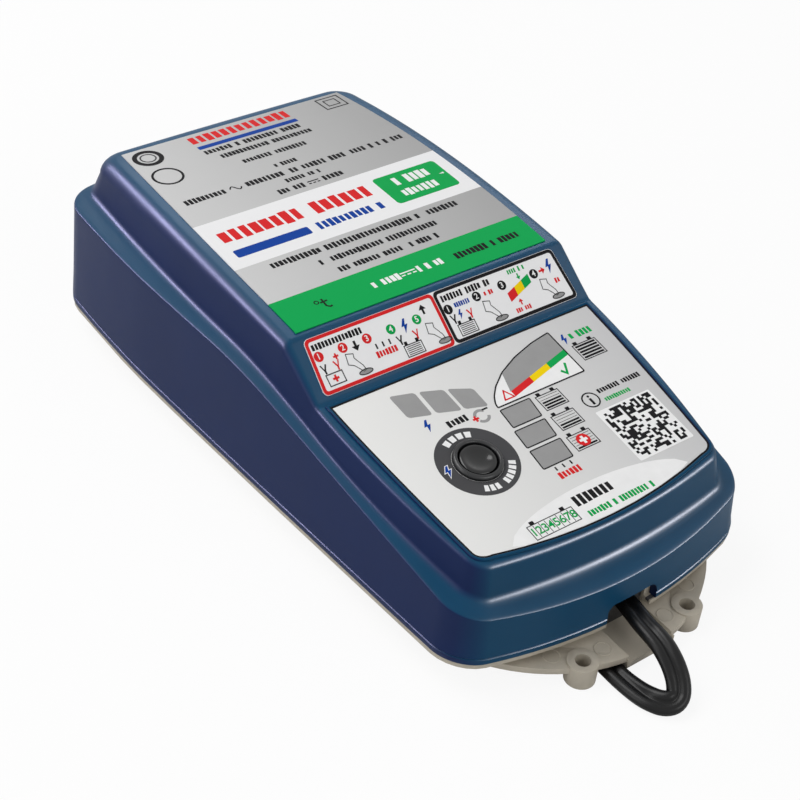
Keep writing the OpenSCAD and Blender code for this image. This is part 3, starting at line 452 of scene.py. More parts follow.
@dataclass(frozen=True)
class CircuitLaminate(Finish):
    """Glass-epoxy board under green solder mask, with copper runs showing paler.

    Attributes:
        run: distance between runs in mm.
        run_colour: sRGB hex of the mask over copper.
        run_share: how much of the board the runs fill.
    """

    run: float = 4.0
    run_colour: str = "#3c8a58"
    run_share: float = 0.42

    def tone(self, tree: Tree, place: Any) -> Any:
        """Lays blocky paler runs under the mask.

        Args:
            tree: the material's tree.
            place: its coordinate socket.

        Returns:
            The colour socket.
        """
        cells = add_node(
            tree, "ShaderNodeTexVoronoi", {"Scale": 1 / (self.run * MM), "Randomness": 0.85},
            {"Vector": place}, distance="MANHATTAN", feature="F1",
        )
        ramp = add_node(
            tree, "ShaderNodeValToRGB", links={"Fac": cells.outputs["Distance"]},
            stops=((0.0, linear(self.run_colour)), (self.run_share, linear(self.colour))),
        )
        ramp.color_ramp.interpolation = "CONSTANT"
        return ramp.outputs["Color"]


# ABS, spark-eroded mould: an even satin that turns highlights into soft streaks, with painted shade
# and a painted violet reflection on walls that face -X.
CASE = MouldedBlue("case_satin_abs", "#023f5f", 0.38, specular=0.1, shade=0.05, patch=30,
                   grain=0.45, depth=0.006, rough_spread=0.03)
# Glass-filled nylon of the tray: matt, warm grey, slightly mottled by the fibre.
TRAY = Finish("tray_grey_nylon", "#b3ab9c", 0.5, shade=0.08, patch=6, grain=0.35, depth=0.02)
# Extruded rubber cord: dead matt, so the joint reads as a dark line.
SEAL = Finish("seal_rubber", "#26282b", 0.75, shade=0.1, patch=4)
# Zinc plate over cold-headed steel: a cool, bright grey with fine drawn lines.
STEEL = RolledMetal("zinc_steel", "#a4a7aa", 0.32, shade=0.05, patch=3, grain=0.15, depth=0.006)
# Polyester film with a silver ink ground: flat, pale, and darker away from the light.
LABEL = PrintedFilm("label_silver_film", "#cdcccb", 0.34, ior=1.48, grain=0.5, depth=0.003,
                    rough_spread=0.03, specular=0.06)
# White polyester film: an even white with hardly any shine.
STEPS = Finish("label_white_film", "#f2f2f3", 0.42, ior=1.48, shade=0.01, grain=0.5,
               depth=0.003, specular=0.06)
# Polycarbonate overlay printed from behind: a pearly ground that greys to one side with painted
# shade.
OVERLAY = PrintedFilm("overlay_pearl_film", "#eeeeec", 0.38, ior=1.48, specular=0.06,
                      painted_far_shade="#c8c8c9", grain=0.5, depth=0.003, rough_spread=0.03)
# Polyester film under clear varnish: flat bands of colour with a soft, even shine, the silver bands
# greying to one side with painted shade.
RATING = BandedFilm("rating_banded_film", "#cfcfcf", 0.42, ior=1.48, specular=0.06, grain=0.5,
                    depth=0.003, rough_spread=0.03, painted_far_shade="#a8a8a8")
# Moulded ABS, polished: a near black that takes a narrow highlight round the rim.
BEZEL = Finish("bezel_black_abs", "#17181a", 0.3, shade=0.1, patch=4, grain=0.3)
# Rubber cap with a lacquer coat: wet-looking, with one small bright spot.
BUTTON = Finish("button_gloss_rubber", "#0d0e0f", 0.16, specular=0.3, shade=0.08, patch=3,
                grain=0.5, depth=0.004, coat=0.3, coat_roughness=0.06)
# Extruded PVC jacket: black with long soft highlights down each strand.
PVC = Finish("lead_black_pvc", "#09090a", 0.3, ior=1.52, specular=0.25, shade=0.12, patch=8,
             grain=1.2, depth=0.01, rough_spread=0.05)
# Overmoulded PVC of the plug: duller than the jacket, from a grained mould.
PLUG = Finish("plug_black_pvc", "#1b1c1e", 0.42, shade=0.1, patch=5, grain=0.4, depth=0.02)
# Nylon tie: a dry grey-black with a coarse moulded grain.
STRAP = Finish("strap_black_nylon", "#2a2b2d", 0.5, shade=0.1, patch=3, grain=0.4, depth=0.03)
# Nickel plate on turned brass: small, bright and almost white.
PIN = RolledMetal("plated_brass_pin", "#b9bdc1", 0.25, shade=0.03, patch=3, grain=0.12)
# Bare spring brass: warm yellow, drawn along the strip.
BRASS = RolledMetal("clip_brass", "#c2a25a", 0.3, shade=0.05, patch=3, grain=0.15)
# Extruded aluminium: pale satin with die lines down its length.
ALUMINIUM = RolledMetal("extruded_aluminium", "#b9bdc1", 0.36, shade=0.04, patch=6, grain=0.2,
                        depth=0.01, stretch=(1.0, 1 / 12, 1.0))
# Glass-epoxy laminate under solder mask: green, its copper runs a shade paler.
BOARD = CircuitLaminate("solder_mask_board", "#1c5e3a", 0.4, grain=0.5)
# Epoxy moulding compound of the chips: charcoal and finely matt.
CHIP = Finish("moulded_epoxy", "#26272a", 0.55, shade=0.06, patch=3, grain=0.25, depth=0.02)
# White epoxy compound: the same matt skin in ivory.
WHITE_CHIP = Finish("white_epoxy", "#e6e6e2", 0.5, shade=0.03, patch=3, grain=0.25)
# Moulded black nylon: a low sheen over a fine grain.
BLACK_NYLON = Finish("black_nylon", "#1f2022", 0.45, shade=0.1, patch=4, grain=0.35, depth=0.015)
# Moulded green nylon of the terminal blocks: plain and satin.
GREEN_NYLON = Finish("green_nylon", "#2f7d4f", 0.45, shade=0.05, patch=4, grain=0.35)
# Shrunk PVC sleeve: dark blue and smooth, tight over the can.
SLEEVE_BLUE = Finish("capacitor_blue_sleeve", "#23324d", 0.3, shade=0.06, patch=6, grain=1.0)
# The same sleeve in dark green.
SLEEVE_GREEN = Finish("capacitor_green_sleeve", "#2c3a2f", 0.3, shade=0.06, patch=6, grain=1.0)
# Cast resin box of the film capacitor: a strong, flat yellow.
FILM_YELLOW = Finish("film_capacitor_yellow", "#d8a520", 0.4, shade=0.04, patch=5, grain=0.4)
# Pressed and sintered ferrite: dry dark grey, slightly pitted.
FERRITE = Finish("sintered_ferrite", "#46494d", 0.6, shade=0.1, patch=2, grain=0.3, depth=0.03)
# Enamelled copper wire: orange brown, its turns catching the light one by one.
COPPER = WoundWire("enamelled_copper", "#b5652f", 0.3, metallic=0.8, grain=0.5, depth=0.15)
# Polyester tape over the winding: yellow, in wide flat laps.
TAPE = WoundWire("winding_tape", "#e2c23c", 0.4, turn=4.0, depth=0.05)
# Ribbon cable: grey PVC, ribbed by its conductors.
RIBBON = WoundWire("ribbon_cable_pvc", "#8f9298", 0.45, turn=1.27, bands="X", depth=0.2)
# Pressed insulation paper: cream, dry and fibrous.
FISH_PAPER = Finish("insulation_paper", "#e9e4cf", 0.7, shade=0.05, patch=5, grain=0.3, depth=0.02)
# PVC wire in the brown of mains live: plain satin.
WIRE_BROWN = Finish("wire_pvc_brown", "#7a4a2b", 0.35, shade=0.05, patch=5)
# PVC wire in the red of the positive lead.
WIRE_RED = Finish("wire_pvc_red", "#b3262a", 0.35, shade=0.05, patch=5)
# Drawn glass of the fuse: clear and sharply bright.
GLASS = Finish("fuse_glass", "#dfe5e8", 0.05, shade=0.02, transmission=0.7)
# Moulded acrylic light guide: milky, glowing at its edges.
GUIDE = Finish("light_guide_acrylic", "#e4e4e0", 0.2, ior=1.49, shade=0.02, transmission=0.4)
# Silicone lens of a light: small, white and a little clear.
LED = Finish("led_silicone", "#f2f2ea", 0.3, shade=0.03, patch=1, transmission=0.2)
# Nylon housing of the switch: charcoal with a low sheen.
SWITCH_BODY = Finish("switch_black_nylon", "#33363a", 0.45, shade=0.06, patch=3)
# Acetal plunger: dense red, slightly waxy.
PLUNGER = Finish("plunger_red_pom", "#b9322b", 0.35, shade=0.05, patch=2)
# Dipped epoxy bead: dark blue with a rounded gloss.
BEAD = Finish("sensor_blue_epoxy", "#20304f", 0.3, shade=0.05, patch=1)

NODE_FINISH: dict[str, Finish] = {
    "upper_case": CASE, "base_tray": TRAY, "case_seal": SEAL, "case_screws": STEEL,
    "rating_label": LABEL, "instruction_label": STEPS, "display_overlay": OVERLAY,
    "button_bezel": BEZEL, "mode_button": BUTTON, "switch_plunger": PLUNGER,
    "tact_switch": SWITCH_BODY, "light_guide": GUIDE, "status_leds": LED,
    "display_board": BOARD, "display_screws": STEEL, "ribbon_cable": RIBBON,
    "main_board": BOARD, "board_screws": STEEL, "insulation_sheet": FISH_PAPER,
    "mains_gland": BLACK_NYLON, "mains_terminal": GREEN_NYLON, "mains_wires": WIRE_BROWN,
    "mains_fuse": GLASS, "fuse_clips": BRASS, "noise_filter_core": FERRITE,
    "noise_filter_coils": COPPER, "film_capacitor": FILM_YELLOW, "bridge_rectifier": CHIP,
    "main_capacitor": SLEEVE_BLUE, "primary_heat_sink": ALUMINIUM,
    "secondary_heat_sink": ALUMINIUM, "power_transistor": CHIP, "output_rectifier": CHIP,
    "transformer_core": FERRITE, "transformer_winding": TAPE, "transformer_bobbin": BLACK_NYLON,
    "output_choke": COPPER, "output_capacitors": SLEEVE_GREEN, "controller_chip": CHIP,
    "optocoupler": WHITE_CHIP, "temperature_sensor": BEAD, "output_terminal": GREEN_NYLON,
    "output_wires": WIRE_RED, "strain_relief": BLACK_NYLON, "lead_run": PVC, "lead_hank": PVC,
    "lead_tie": STRAP, "plug_shell": PLUG, "plug_pins": PIN,
}


def dress_nodes(nodes: dict[str, Object]) -> None:
    """Gives every carried-over CAD node its finish.

    Args:
        nodes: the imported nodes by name.
    """
    for name, obj in nodes.items():
        made = NODE_FINISH[name].material()
        if not obj.material_slots:
            obj.data.materials.append(made)
        for slot in obj.material_slots:
            slot.material = made
        log.info("dressed %s as %s", name, made.name)


# ---- meshes -------------------------------------------------------------------------------------


def make_piece(
    name: str,
    mesh: Mesh,
    finish: Optional[Finish],
    slot: str,
    replaces: Sequence[str] = (),
    sharp: float = 35.0,
    body: str = BODY,
) -> Object:
    """Puts a finished mesh in the scene as a piece of the charger.

    Args:
        name: the piece's name.
        mesh: its mesh, in metres.
        finish: its finish, or None where the mesh brings its own.
        slot: the record's material slot; not used.
        replaces: CAD nodes that it stands for.
        sharp: least angle in degrees of an edge that stays sharp.
        body: the body that it rides on.

    Returns:
        The object.
    """
    obj = bpy.data.objects.new(name, mesh)
    bpy.context.collection.objects.link(obj)
    mesh.shade_smooth()
    mesh.set_sharp_from_angle(angle=math.radians(sharp))
    if finish:
        mesh.materials.clear()
        mesh.materials.append(finish.material())
    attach(obj, body)
    if replaces:
        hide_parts(*replaces)
    log.info("%s: %d faces", name, len(mesh.polygons))
    return obj


def mesh_from(
    name: str, points: Iterable[Place], faces: Iterable[Sequence[int]], recalc: bool = True
) -> Mesh:
    """Makes a mesh from points in mm.

    Args:
        name: the mesh's name.
        points: its corners in mm.
        faces: corner numbers of each face.
        recalc: whether its normals are turned outwards.

    Returns:
        The mesh, in metres.
    """
    mesh = bpy.data.meshes.new(name)
    mesh.from_pydata([tuple(c * MM for c in p) for p in points], [], [tuple(f) for f in faces])
    if recalc:
        work = bmesh.new()
        work.from_mesh(mesh)
        bmesh.ops.recalc_face_normals(work, faces=work.faces)
        work.to_mesh(mesh)
        work.free()
    mesh.update()
    return mesh


def evaluated(obj: Object) -> Mesh:
    """Makes a plain mesh of an object with its modifiers, and removes the object.

    Args:
        obj: the object, linked to the scene.

    Returns:
        The mesh.
    """
    graph = bpy.context.evaluated_depsgraph_get()
    mesh = bpy.data.meshes.new_from_object(obj.evaluated_get(graph))
    bpy.data.objects.remove(obj)
    return mesh


def lathe(profile: Shape, sides: int, place: Callable[[Place], Place]) -> Form:
    """Turns a closed profile round its axis.

    Args:
        profile: (radius, height) points, the first and last on the axis or the whole a loop.
        sides: steps round.
        place: maps a point of the lathe's own frame to the charger's.

    Returns:
        Points and faces.
    """
    points: list[Place] = []
    rows: list[list[int]] = []
    for r, h in profile:
        if r < ON_AXIS:
            rows.append([len(points)] * sides)
            points.append(place((0.0, 0.0, h)))
            continue
        rows.append([len(points) + k for k in range(sides)])
        for k in range(sides):
            a = 2 * math.pi * k / sides
            points.append(place((r * math.cos(a), r * math.sin(a), h)))
    loop = profile[0][0] > ON_AXIS
    faces = []
    for i in range(len(rows) if loop else len(rows) - 1):
        low, high = rows[i], rows[(i + 1) % len(rows)]
        for k in range(sides):
            j = (k + 1) % sides
            face = list(dict.fromkeys((low[k], low[j], high[j], high[k])))
            if len(face) > 2:
                faces.append(face)
    return points, faces


def gather(forms: Iterable[Form]) -> Form:
    """Puts several forms in one.

    Args:
        forms: points and faces of each.

    Returns:
        The points and faces of all.
    """
    points: list[Place] = []
    faces: list[list[int]] = []
    for more, sides in forms:
        base = len(points)
        points += more
        faces += [[base + k for k in side] for side in sides]
    return points, faces


# ---- case ---------------------------------------------------------------------------------------


def along(start: Point, end: Point, share: float) -> Point:
    """Returns the point that lies a share of the way from one point to another."""
    return tuple(start[c] + (end[c] - start[c]) * share for c in (0, 1))


def cross2(p: Point, q: Point) -> float:
    """Returns the cross product of two flat vectors."""
    return p[0] * q[1] - p[1] * q[0]


def bend(a: Point, k: Point, b: Point, steps: int, pull: float = 0.56) -> Shape:
    """Rounds a corner with one smooth curve.

    Args:
        a: where the curve starts.
        k: the corner.
        b: where the curve ends.
        steps: steps along it.
        pull: how far its handles reach to the corner.

    Returns:
        Its points, with both ends.
    """
    made = []
    for i in range(steps + 1):
        t = i / steps
        u = 1 - t
        made.append(
            tuple(
                a[c] * u**3
                + 3 * (a[c] + (k[c] - a[c]) * pull) * u * u * t
                + 3 * (b[c] + (k[c] - b[c]) * pull) * u * t * t
                + b[c] * t**3
                for c in (0, 1)
            )
        )
    return made


@dataclass
class CaseForm:
    """Sizes and outlines of the upper case, in mm.

    The driving sizes carry the names that they have in the part's source.

    Attributes:
        crease_ease: how far to either side of its place the crease's bend is eased.
        bend_ease: the same for the skin's bends at the step.
        under_label: how much lower the skin lies under the upper labels.
        label_clear: how far past the step's two bends it does so.
        kink_stops: places of the stops about a bend.
        kink_clear: how far the even stops keep from a bend.
        stops: the stops along the sides.
    """

    case_w: float = 117.2
    case_l: float = 204.0
    widest_y: float = 53.3
    front_narrowing: float = 6.6
    front_power: float = 1.2
    rear_narrowing: float = 1.0
    front_bulge: float = 9.4
    rear_bulge: float = 0.8
    front_corner: float = 9.0
    rear_corner: float = 12.0
    wall: float = 2.4
    side_draft: float = 1.2
    edge_h: float = 9.3
    crease_h: float = 43.8
    crease_bend_y: float = 2.0
    crease_ease: float = 14.0
    crease_tilt: float = 11.7
    shoulder_rise: float = 3.0
    tier_draft: float = 1.2
    top_h: float = 59.3
    crown_y: float = 47.0
    crown_front: float = 2.2
    crown_rear: float = 2.5
    top_front_y: float = -92.2
    top_rear_y: float = 99.0
    top_rear_hw: float = 47.3
    top_mid_hw: float = 50.0
    top_mid_y: float = 24.0
    top_wide_hw: float = 49.2
    top_front_hw: float = 43.8
    top_bulge: float = 4.6
    top_rear_bulge: float = 0.5
    top_front_corner: float = 5.0
    top_rear_corner: float = 8.0
    rim_round_rear: float = 5.4
    rim_round_front: float = 1.6
    step_top_y: float = -8.8
    step_foot_y: float = -24.5
    step_tilt: float = 35.5
    panel_tilt: float = 8.8
    label_t: float = 0.3
    overlay_gap: float = 2.3
    steps_gap: float = 1.4
    bend_ease: float = 0.45
    label_rear_y: float = 91.5
    under_label: float = 0.05
    label_clear: float = 2.0
    button_x: float = -21.0
    button_s: float = 32.7
    end_steps: int = 10
    corner_steps: int = 14
    stop_reach: float = 80.0
    stop_gap: float = 4.0
    kink_stops: Sequence[float] = (-0.9, -0.45, 0.0, 0.45, 0.9)
    kink_clear: float = 2.2
    stops: list[float] = field(default_factory=list)

    def __post_init__(self) -> None:
        """Lists the places along the sides where every outline has a point."""
        count = round(2 * self.stop_reach / self.stop_gap) + 1
        even = [self.stop_gap * k - self.stop_reach for k in range(count)]
        kinks = [self.step_foot_y, self.step_top_y, self.crease_bend_y]
        near = [k + d for k in kinks for d in self.kink_stops]
        far = [y for y in even if all(abs(y - k) > self.kink_clear for k in kinks)]
        self.stops = sorted(near + far)

    def case_hw(self, y: float) -> float:
        """Finds the case's half width.

        Args:
            y: the place along it.

        Returns:
            The half width.
        """
        front_run = self.widest_y + self.case_l / 2 - self.front_bulge - self.front_corner
        rear_run = self.case_l / 2 - self.rear_bulge - self.rear_corner - self.widest_y
        if y < self.widest_y:
            past = ((self.widest_y - y) / front_run) ** self.front_power
            return self.case_w / 2 - self.front_narrowing * past
        return self.case_w / 2 - self.rear_narrowing * ((y - self.widest_y) / rear_run) ** 2

    def top_hw(self, y: float) -> float:
        """Finds the raised top's half width.

        Args:
            y: the place along it.

        Returns:
            The half width.
        """
        if y < self.step_foot_y:
            run = self.step_foot_y - self.top_front_y - self.top_bulge - self.top_front_corner
            past = ((self.step_foot_y - y) / run) ** 2
            return self.top_wide_hw - (self.top_wide_hw - self.top_front_hw) * past
        if y < self.top_mid_y:
            past = ((self.top_mid_y - y) / (self.top_mid_y - self.step_foot_y)) ** 2
            return self.top_mid_hw - (self.top_mid_hw - self.top_wide_hw) * past
        run = self.top_rear_y - self.top_rear_bulge - self.top_rear_corner - self.top_mid_y
        past = ((y - self.top_mid_y) / run) ** 2
        return self.top_mid_hw - (self.top_mid_hw - self.top_rear_hw) * past

    def half_end(
        self, hw: Callable[[float], float], end_y: float, bulge: float, corner: float, way: int
    ) -> Shape:
        """Draws half of one end.

        Args:
            hw: the half width along the case.
            end_y: the end's foremost or rearmost place.
            bulge: how far its middle stands out.
            corner: size of its rounded corner.
            way: 1 at the front, -1 at the rear.

        Returns:
            Its points from the middle to the side.
        """
        side_y = end_y + way * (bulge + corner)
        b = (hw(side_y), side_y)
        x_a = b[0] - corner
        a = (x_a, end_y + way * bulge * (x_a / b[0]) ** 2)
        da = (1.0, way * 2 * bulge * x_a / b[0] ** 2)
        db = (hw(side_y + way) - b[0], float(way))
        reach = cross2((b[0] - a[0], b[1] - a[1]), db) / cross2(da, db)
        k = (a[0] + da[0] * reach, a[1] + da[1] * reach)
        flat = [x_a * i / self.end_steps for i in range(self.end_steps)]
        return [(x, end_y + way * bulge * (x / b[0]) ** 2) for x in flat] + bend(
            a, k, b, self.corner_steps
        )

    def half_outline(self, hw: Callable[[float], float], front: Place, rear: Place) -> Shape:
        """Draws an outline's right half.

        Args:
            hw: the half width along the case.
            front: end, bulge and corner at the front.
            rear: the same at the rear.

        Returns:
            Its points from the front's middle to the rear's.
        """
        return (
            self.half_end(hw, *front, 1)
            + [(hw(y), y) for y in self.stops]
            + self.half_end(hw, *rear, -1)[::-1]
        )

    def case_half(self, d: float) -> Shape:
        """Draws the right half of the case's outline.

        Args:
            d: distance in from the skin.

        Returns:
            Its points.
        """
        return self.half_outline(
            lambda y: self.case_hw(y) - d,
            (-self.case_l / 2 + d, self.front_bulge, self.front_corner - d / 2),
            (self.case_l / 2 - d, self.rear_bulge, self.rear_corner - d / 2),
        )

    def top_half(self, d: float) -> Shape:
        """Draws the right half of the raised top's outline.

        Args:
            d: distance in from the skin.

        Returns:
            Its points.
        """
        return self.half_outline(
            lambda y: self.top_hw(y) - d,
            (self.top_front_y + d, self.top_bulge, self.top_front_corner - d / 2),
            (self.top_rear_y - d, self.top_rear_bulge, self.top_rear_corner - d / 2),
        )

    def label_z(self, y: float) -> float:
        """Finds the height of the labels' face.

        Args:
            y: the place along the case.

        Returns:
            The height.
        """
        front = self.top_h - self.crown_front
        foot = front - (self.step_top_y - self.step_foot_y) * self.slope(self.step_tilt)
        if y > self.crown_y:
            past = (y - self.crown_y) / (self.top_rear_y - self.crown_y)
            return self.top_h - self.crown_rear * past**2
        if y > self.step_top_y:
            past = (self.crown_y - y) / (self.crown_y - self.step_top_y)
            return self.top_h - self.crown_front * past**2
        if y > self.step_foot_y:
            return front - (self.step_top_y - y) * self.slope(self.step_tilt)
        return foot - (self.step_foot_y - y) * self.slope(self.panel_tilt)

    def slope(self, angle: float) -> float:
        """Returns the rise for each mm along of a slope given in degrees."""
        return math.tan(math.radians(angle))

    def top_z(self, y: float) -> float:
        """Finds the skin's height under the labels, its bends eased.

        Args:
            y: the place along the case.

        Returns:
            The height.
        """
        line = (self.label_z(y - self.bend_ease) + self.label_z(y + self.bend_ease)) / 2
        on_step = self.step_foot_y + self.label_clear < y < self.step_top_y + self.label_clear
        return line - self.label_t - (self.under_label if on_step else 0.0)

    def crease_z(self, y: float) -> float:
        """Finds the height of the crease along the side, its bend eased.

        Args:
            y: the place along the case.

        Returns:
            The height.
        """
        past = min(max(self.crease_bend_y + self.crease_ease - y, 0.0), 2 * self.crease_ease)
        straight = max(self.crease_bend_y - self.crease_ease - y, 0.0)
        fall = past**2 / (4 * self.crease_ease) + straight
        return self.crease_h - fall * self.slope(self.crease_tilt)

    def rim_round(self, y: float) -> float:
        """Finds the radius of the raised top's rim.

        Args:
            y: the place along the case.

        Returns:
            The radius.
        """
        run = self.top_rear_y - self.top_rear_corner - self.step_foot_y
        past = max(0.0, min(1.0, (y - self.step_foot_y) / run))
        return self.rim_round_front + (self.rim_round_rear - self.rim_round_front) * math.sqrt(past)

    def on_panel(self, x: float, s: float, h: float = 0.0) -> Place:
        """Maps a place on the display panel, x across, s down and h out of it, to the frame."""
        return self.on_slope(self.panel_tilt, self.step_foot_y - self.overlay_gap, x, s, h)

    def on_step(self, x: float, s: float, h: float = 0.0) -> Place:
        """Maps a place on the step's label, in the same way, to the frame."""
        gap = self.steps_gap * math.cos(math.radians(self.step_tilt))
        return self.on_slope(self.step_tilt, self.step_top_y - gap, x, s, h)

    def on_slope(self, tilt: float, top_y: float, x: float, s: float, h: float) -> Place:
        """Maps a place on a sloping face to the charger's frame.

        Args:
            tilt: the slope in degrees.
            top_y: where the face starts.
            x: across the face.
            s: down the slope.
            h: height out of the face.

        Returns:
            The place.
        """
        a = math.radians(tilt)
        return (
            x,
            top_y - s * math.cos(a) - h * math.sin(a),
            self.label_z(top_y) - s * math.sin(a) + h * math.cos(a),
        )

    def on_top(self, x: float, s: float, h: float = 0.0) -> Place:
        """Maps a place on the upper label to the charger's frame; s runs forward."""
        return (x, self.label_rear_y - s, self.label_z(self.label_rear_y - s) + h)


@dataclass
class UpperCase:
    """The blue upper case, a shell open at the bottom."""

    form: CaseForm
    # The wall's foot and its shadow groove: height over the edge and depth
    foot: Sequence[Point] = (
        (0.0, 0.3), (0.12, 0.09), (0.35, 0.0), (1.8, 0.0), (1.95, 0.12), (2.05, 0.25),
        (2.3, 0.25), (2.42, 0.1), (2.6, 0.0),
    )
    # Shares of the way up to the crease where the walls have rings
    walls: Sequence[float] = (0.35, 0.7, 0.95)
    inner_wall: float = 0.6
    crease_clear: float = 1.0
    # Shares of the way from the crease to the raised top, and of the rise
    ledge: Sequence[Point] = (
        (0.0, -0.117), (0.0023, -0.068), (0.0082, -0.027), (0.018, 0.008), (0.03, 0.028),
        (0.08, 0.08), (0.18, 0.13), (0.3, 0.18), (0.42, 0.23), (0.55, 0.28),
        (0.72, 0.36), (0.82, 0.45), (0.9, 0.57), (0.96, 0.74), (0.99, 0.88), (1.0, 1.0),
    )
    rim_steps: int = 8
    top_draft: float = 0.3
    notch_x: float = 1.6
    notch_w: float = 18.0
    notch_h: float = 6.0
    # How far the notch's cutter runs past the wall and below the edge
    notch_past: float = 4.0
    notch_foot: float = 3.0
    # Radius, depth and height of each bore
    button_bore: Place = (6.2, 8.0, 3.0)
    gland_bore: Place = (6.0, 8.0, 4.0)
    gland_z: float = 27.0
    bore_sides: int = 64

    def rings(self, d: float) -> list[list[Place]]:
        """Draws the right halves of the skin's rings.

        Args:
            d: distance in from the outer skin.

        Returns:
            The rings from the lower edge to the top.
        """
        f = self.form
        inner = d > 0
        # Each pair is a place on the skin and the same place 1 mm in
        case_skin = list(zip(f.case_half(0), f.case_half(1)))
        top_skin = list(zip(f.top_half(0), f.top_half(1)))
        rings: list[list[Place]] = []
        for up, step in ((0.0, 0.0),) if inner else self.foot:
            rings.append([(*along(*pair, d + step), f.edge_h + up) for pair in case_skin])
        # The wall up to the crease, then over the shoulder
        for share in (self.inner_wall,) if inner else self.walls:
            ring = []
            for pair in case_skin:
                x, y = along(*pair, d + f.side_draft * share)
                wall_h = f.crease_z(y) - f.edge_h - self.crease_clear
                ring.append((x, y, f.edge_h + wall_h * share))
            rings.append(ring)
        for t, rise in self.ledge:
            ring = []
            for pair, top in zip(case_skin, top_skin):
                x, y = along(along(*pair, f.side_draft + d), along(*top, d - f.tier_draft), t)
                ring.append((x, y, f.crease_z(y) + f.shoulder_rise * rise - d))
            rings.append(ring)
        # The raised top's wall and its rounded rim
        least = f.rim_round_front / 2 if inner else 0.0
        for k in range(self.rim_steps + 1):
            turn = math.pi / 2 * k / self.rim_steps
            ring = []
            for top in top_skin:
                r = max(f.rim_round(top[0][1]) - d, least)
                x, y = along(*top, self.top_draft + d + r * (1 - math.cos(turn)))
                ring.append((x, y, f.top_z(y) - d - r * (1 - math.sin(turn))))
            rings.append(ring)
        return rings

    def skin(self, d: float, flip: bool, base: int) -> tuple[list[Place], list[list[int]], int]:
        """Makes one skin, closed at the top.

        Args:
            d: distance in from the outer skin.
            flip: whether its faces look inwards.
            base: number of its first point.

        Returns:
            Its points, its faces and the number of points in a ring.
        """
        rings = self.rings(d)
        n = len(rings[0])
        m = 2 * n - 2
        points: list[Place] = []
        for half in rings:
            points += half + [(-x, y, z) for x, y, z in half[-2:0:-1]]
        faces: list[list[int]] = []
        for k in range(len(rings) - 1):
            a = base + k * m
            for i in range(m):
                j = (i + 1) % m
                faces.append([a + i, a + j, a + m + j, a + m + i])
        a = base + (len(rings) - 1) * m
        faces.append([a, a + 1, a + m - 1])
        for i in range(1, n - 2):
            faces.append([a + i, a + i + 1, a + m - i - 1, a + m - i])
        faces.append([a + n - 2, a + n - 1, a + n])
        return points, [f[::-1] for f in faces] if flip else faces, m

    def shell(self) -> Mesh:
        """Makes the shell with its wall's thickness and no holes yet.

        Returns:
            Its mesh.
        """
        outer, faces, m = self.skin(0.0, False, 0)
        inner, inside, _ = self.skin(self.form.wall, True, len(outer))
        base = len(outer)
        rim = [[(i + 1) % m, i, base + i, base + (i + 1) % m] for i in range(m)]
        return mesh_from("shell", outer + inner, faces + inside + rim)

    def notch(self) -> Shape:
        """Draws the lead's notch in the front wall.

        Returns:
            Its outline, as x and z.
        """
        low, high = self.form.edge_h - self.notch_foot, self.form.edge_h + self.notch_h
        a, b = self.notch_x - self.notch_w / 2, self.notch_x + self.notch_w / 2
        r = self.notch_h / 2
        return (
            [(a, low), (b, low)]
            + bend((b, high - r), (b, high), (b - r, high), 8)
            + bend((a + r, high), (a, high), (a, high - r), 8)
        )

    def cutters(self) -> Mesh:
        """Makes the solids that the notch, the button's bore and the gland's bore leave out.

        Returns:
            Their mesh.
        """
        f = self.form
        outline = self.notch()
        n = len(outline)
        front = -f.case_l / 2
        ends = (front - self.notch_past, front + f.front_bulge + self.notch_past)
        corners = [(x, y, z) for y in ends for x, z in outline]
        sides = [list(range(n)), list(range(2 * n - 1, n - 1, -1))]
        sides += [[i, (i + 1) % n, n + (i + 1) % n, n + i] for i in range(n)]
        forms: list[Form] = [(corners, sides)]
        bores = (
            (self.button_bore, lambda p: f.on_panel(p[0] + f.button_x, f.button_s - p[1], p[2])),
            (self.gland_bore, lambda p: (p[0], f.case_l / 2 + p[2], self.gland_z - p[1])),
        )
        for (r, low, high), place in bores:
            profile = [(0.0, -low), (r, -low), (r, high), (0.0, high)]
            forms.append(lathe(profile, self.bore_sides, place))
        return mesh_from("cutters", *gather(forms))

    def build(self) -> Object:
        """Builds the case in place of its CAD node.

        Returns:
            The piece.
        """
        shell = bpy.data.objects.new("shell", self.shell())
        cutter = bpy.data.objects.new("cutter", self.cutters())
        for obj in (shell, cutter):
            bpy.context.collection.objects.link(obj)
        cut = shell.modifiers.new("holes", "BOOLEAN")
        cut.operation = "DIFFERENCE"
        cut.solver = "EXACT"
        cut.object = cutter
        mesh = evaluated(shell)
        bpy.data.objects.remove(cutter)
        return make_piece("upper_case_shell", mesh, CASE, "case_blue", ["upper_case"], sharp=24)


# ---- lead ---------------------------------------------------------------------------------------


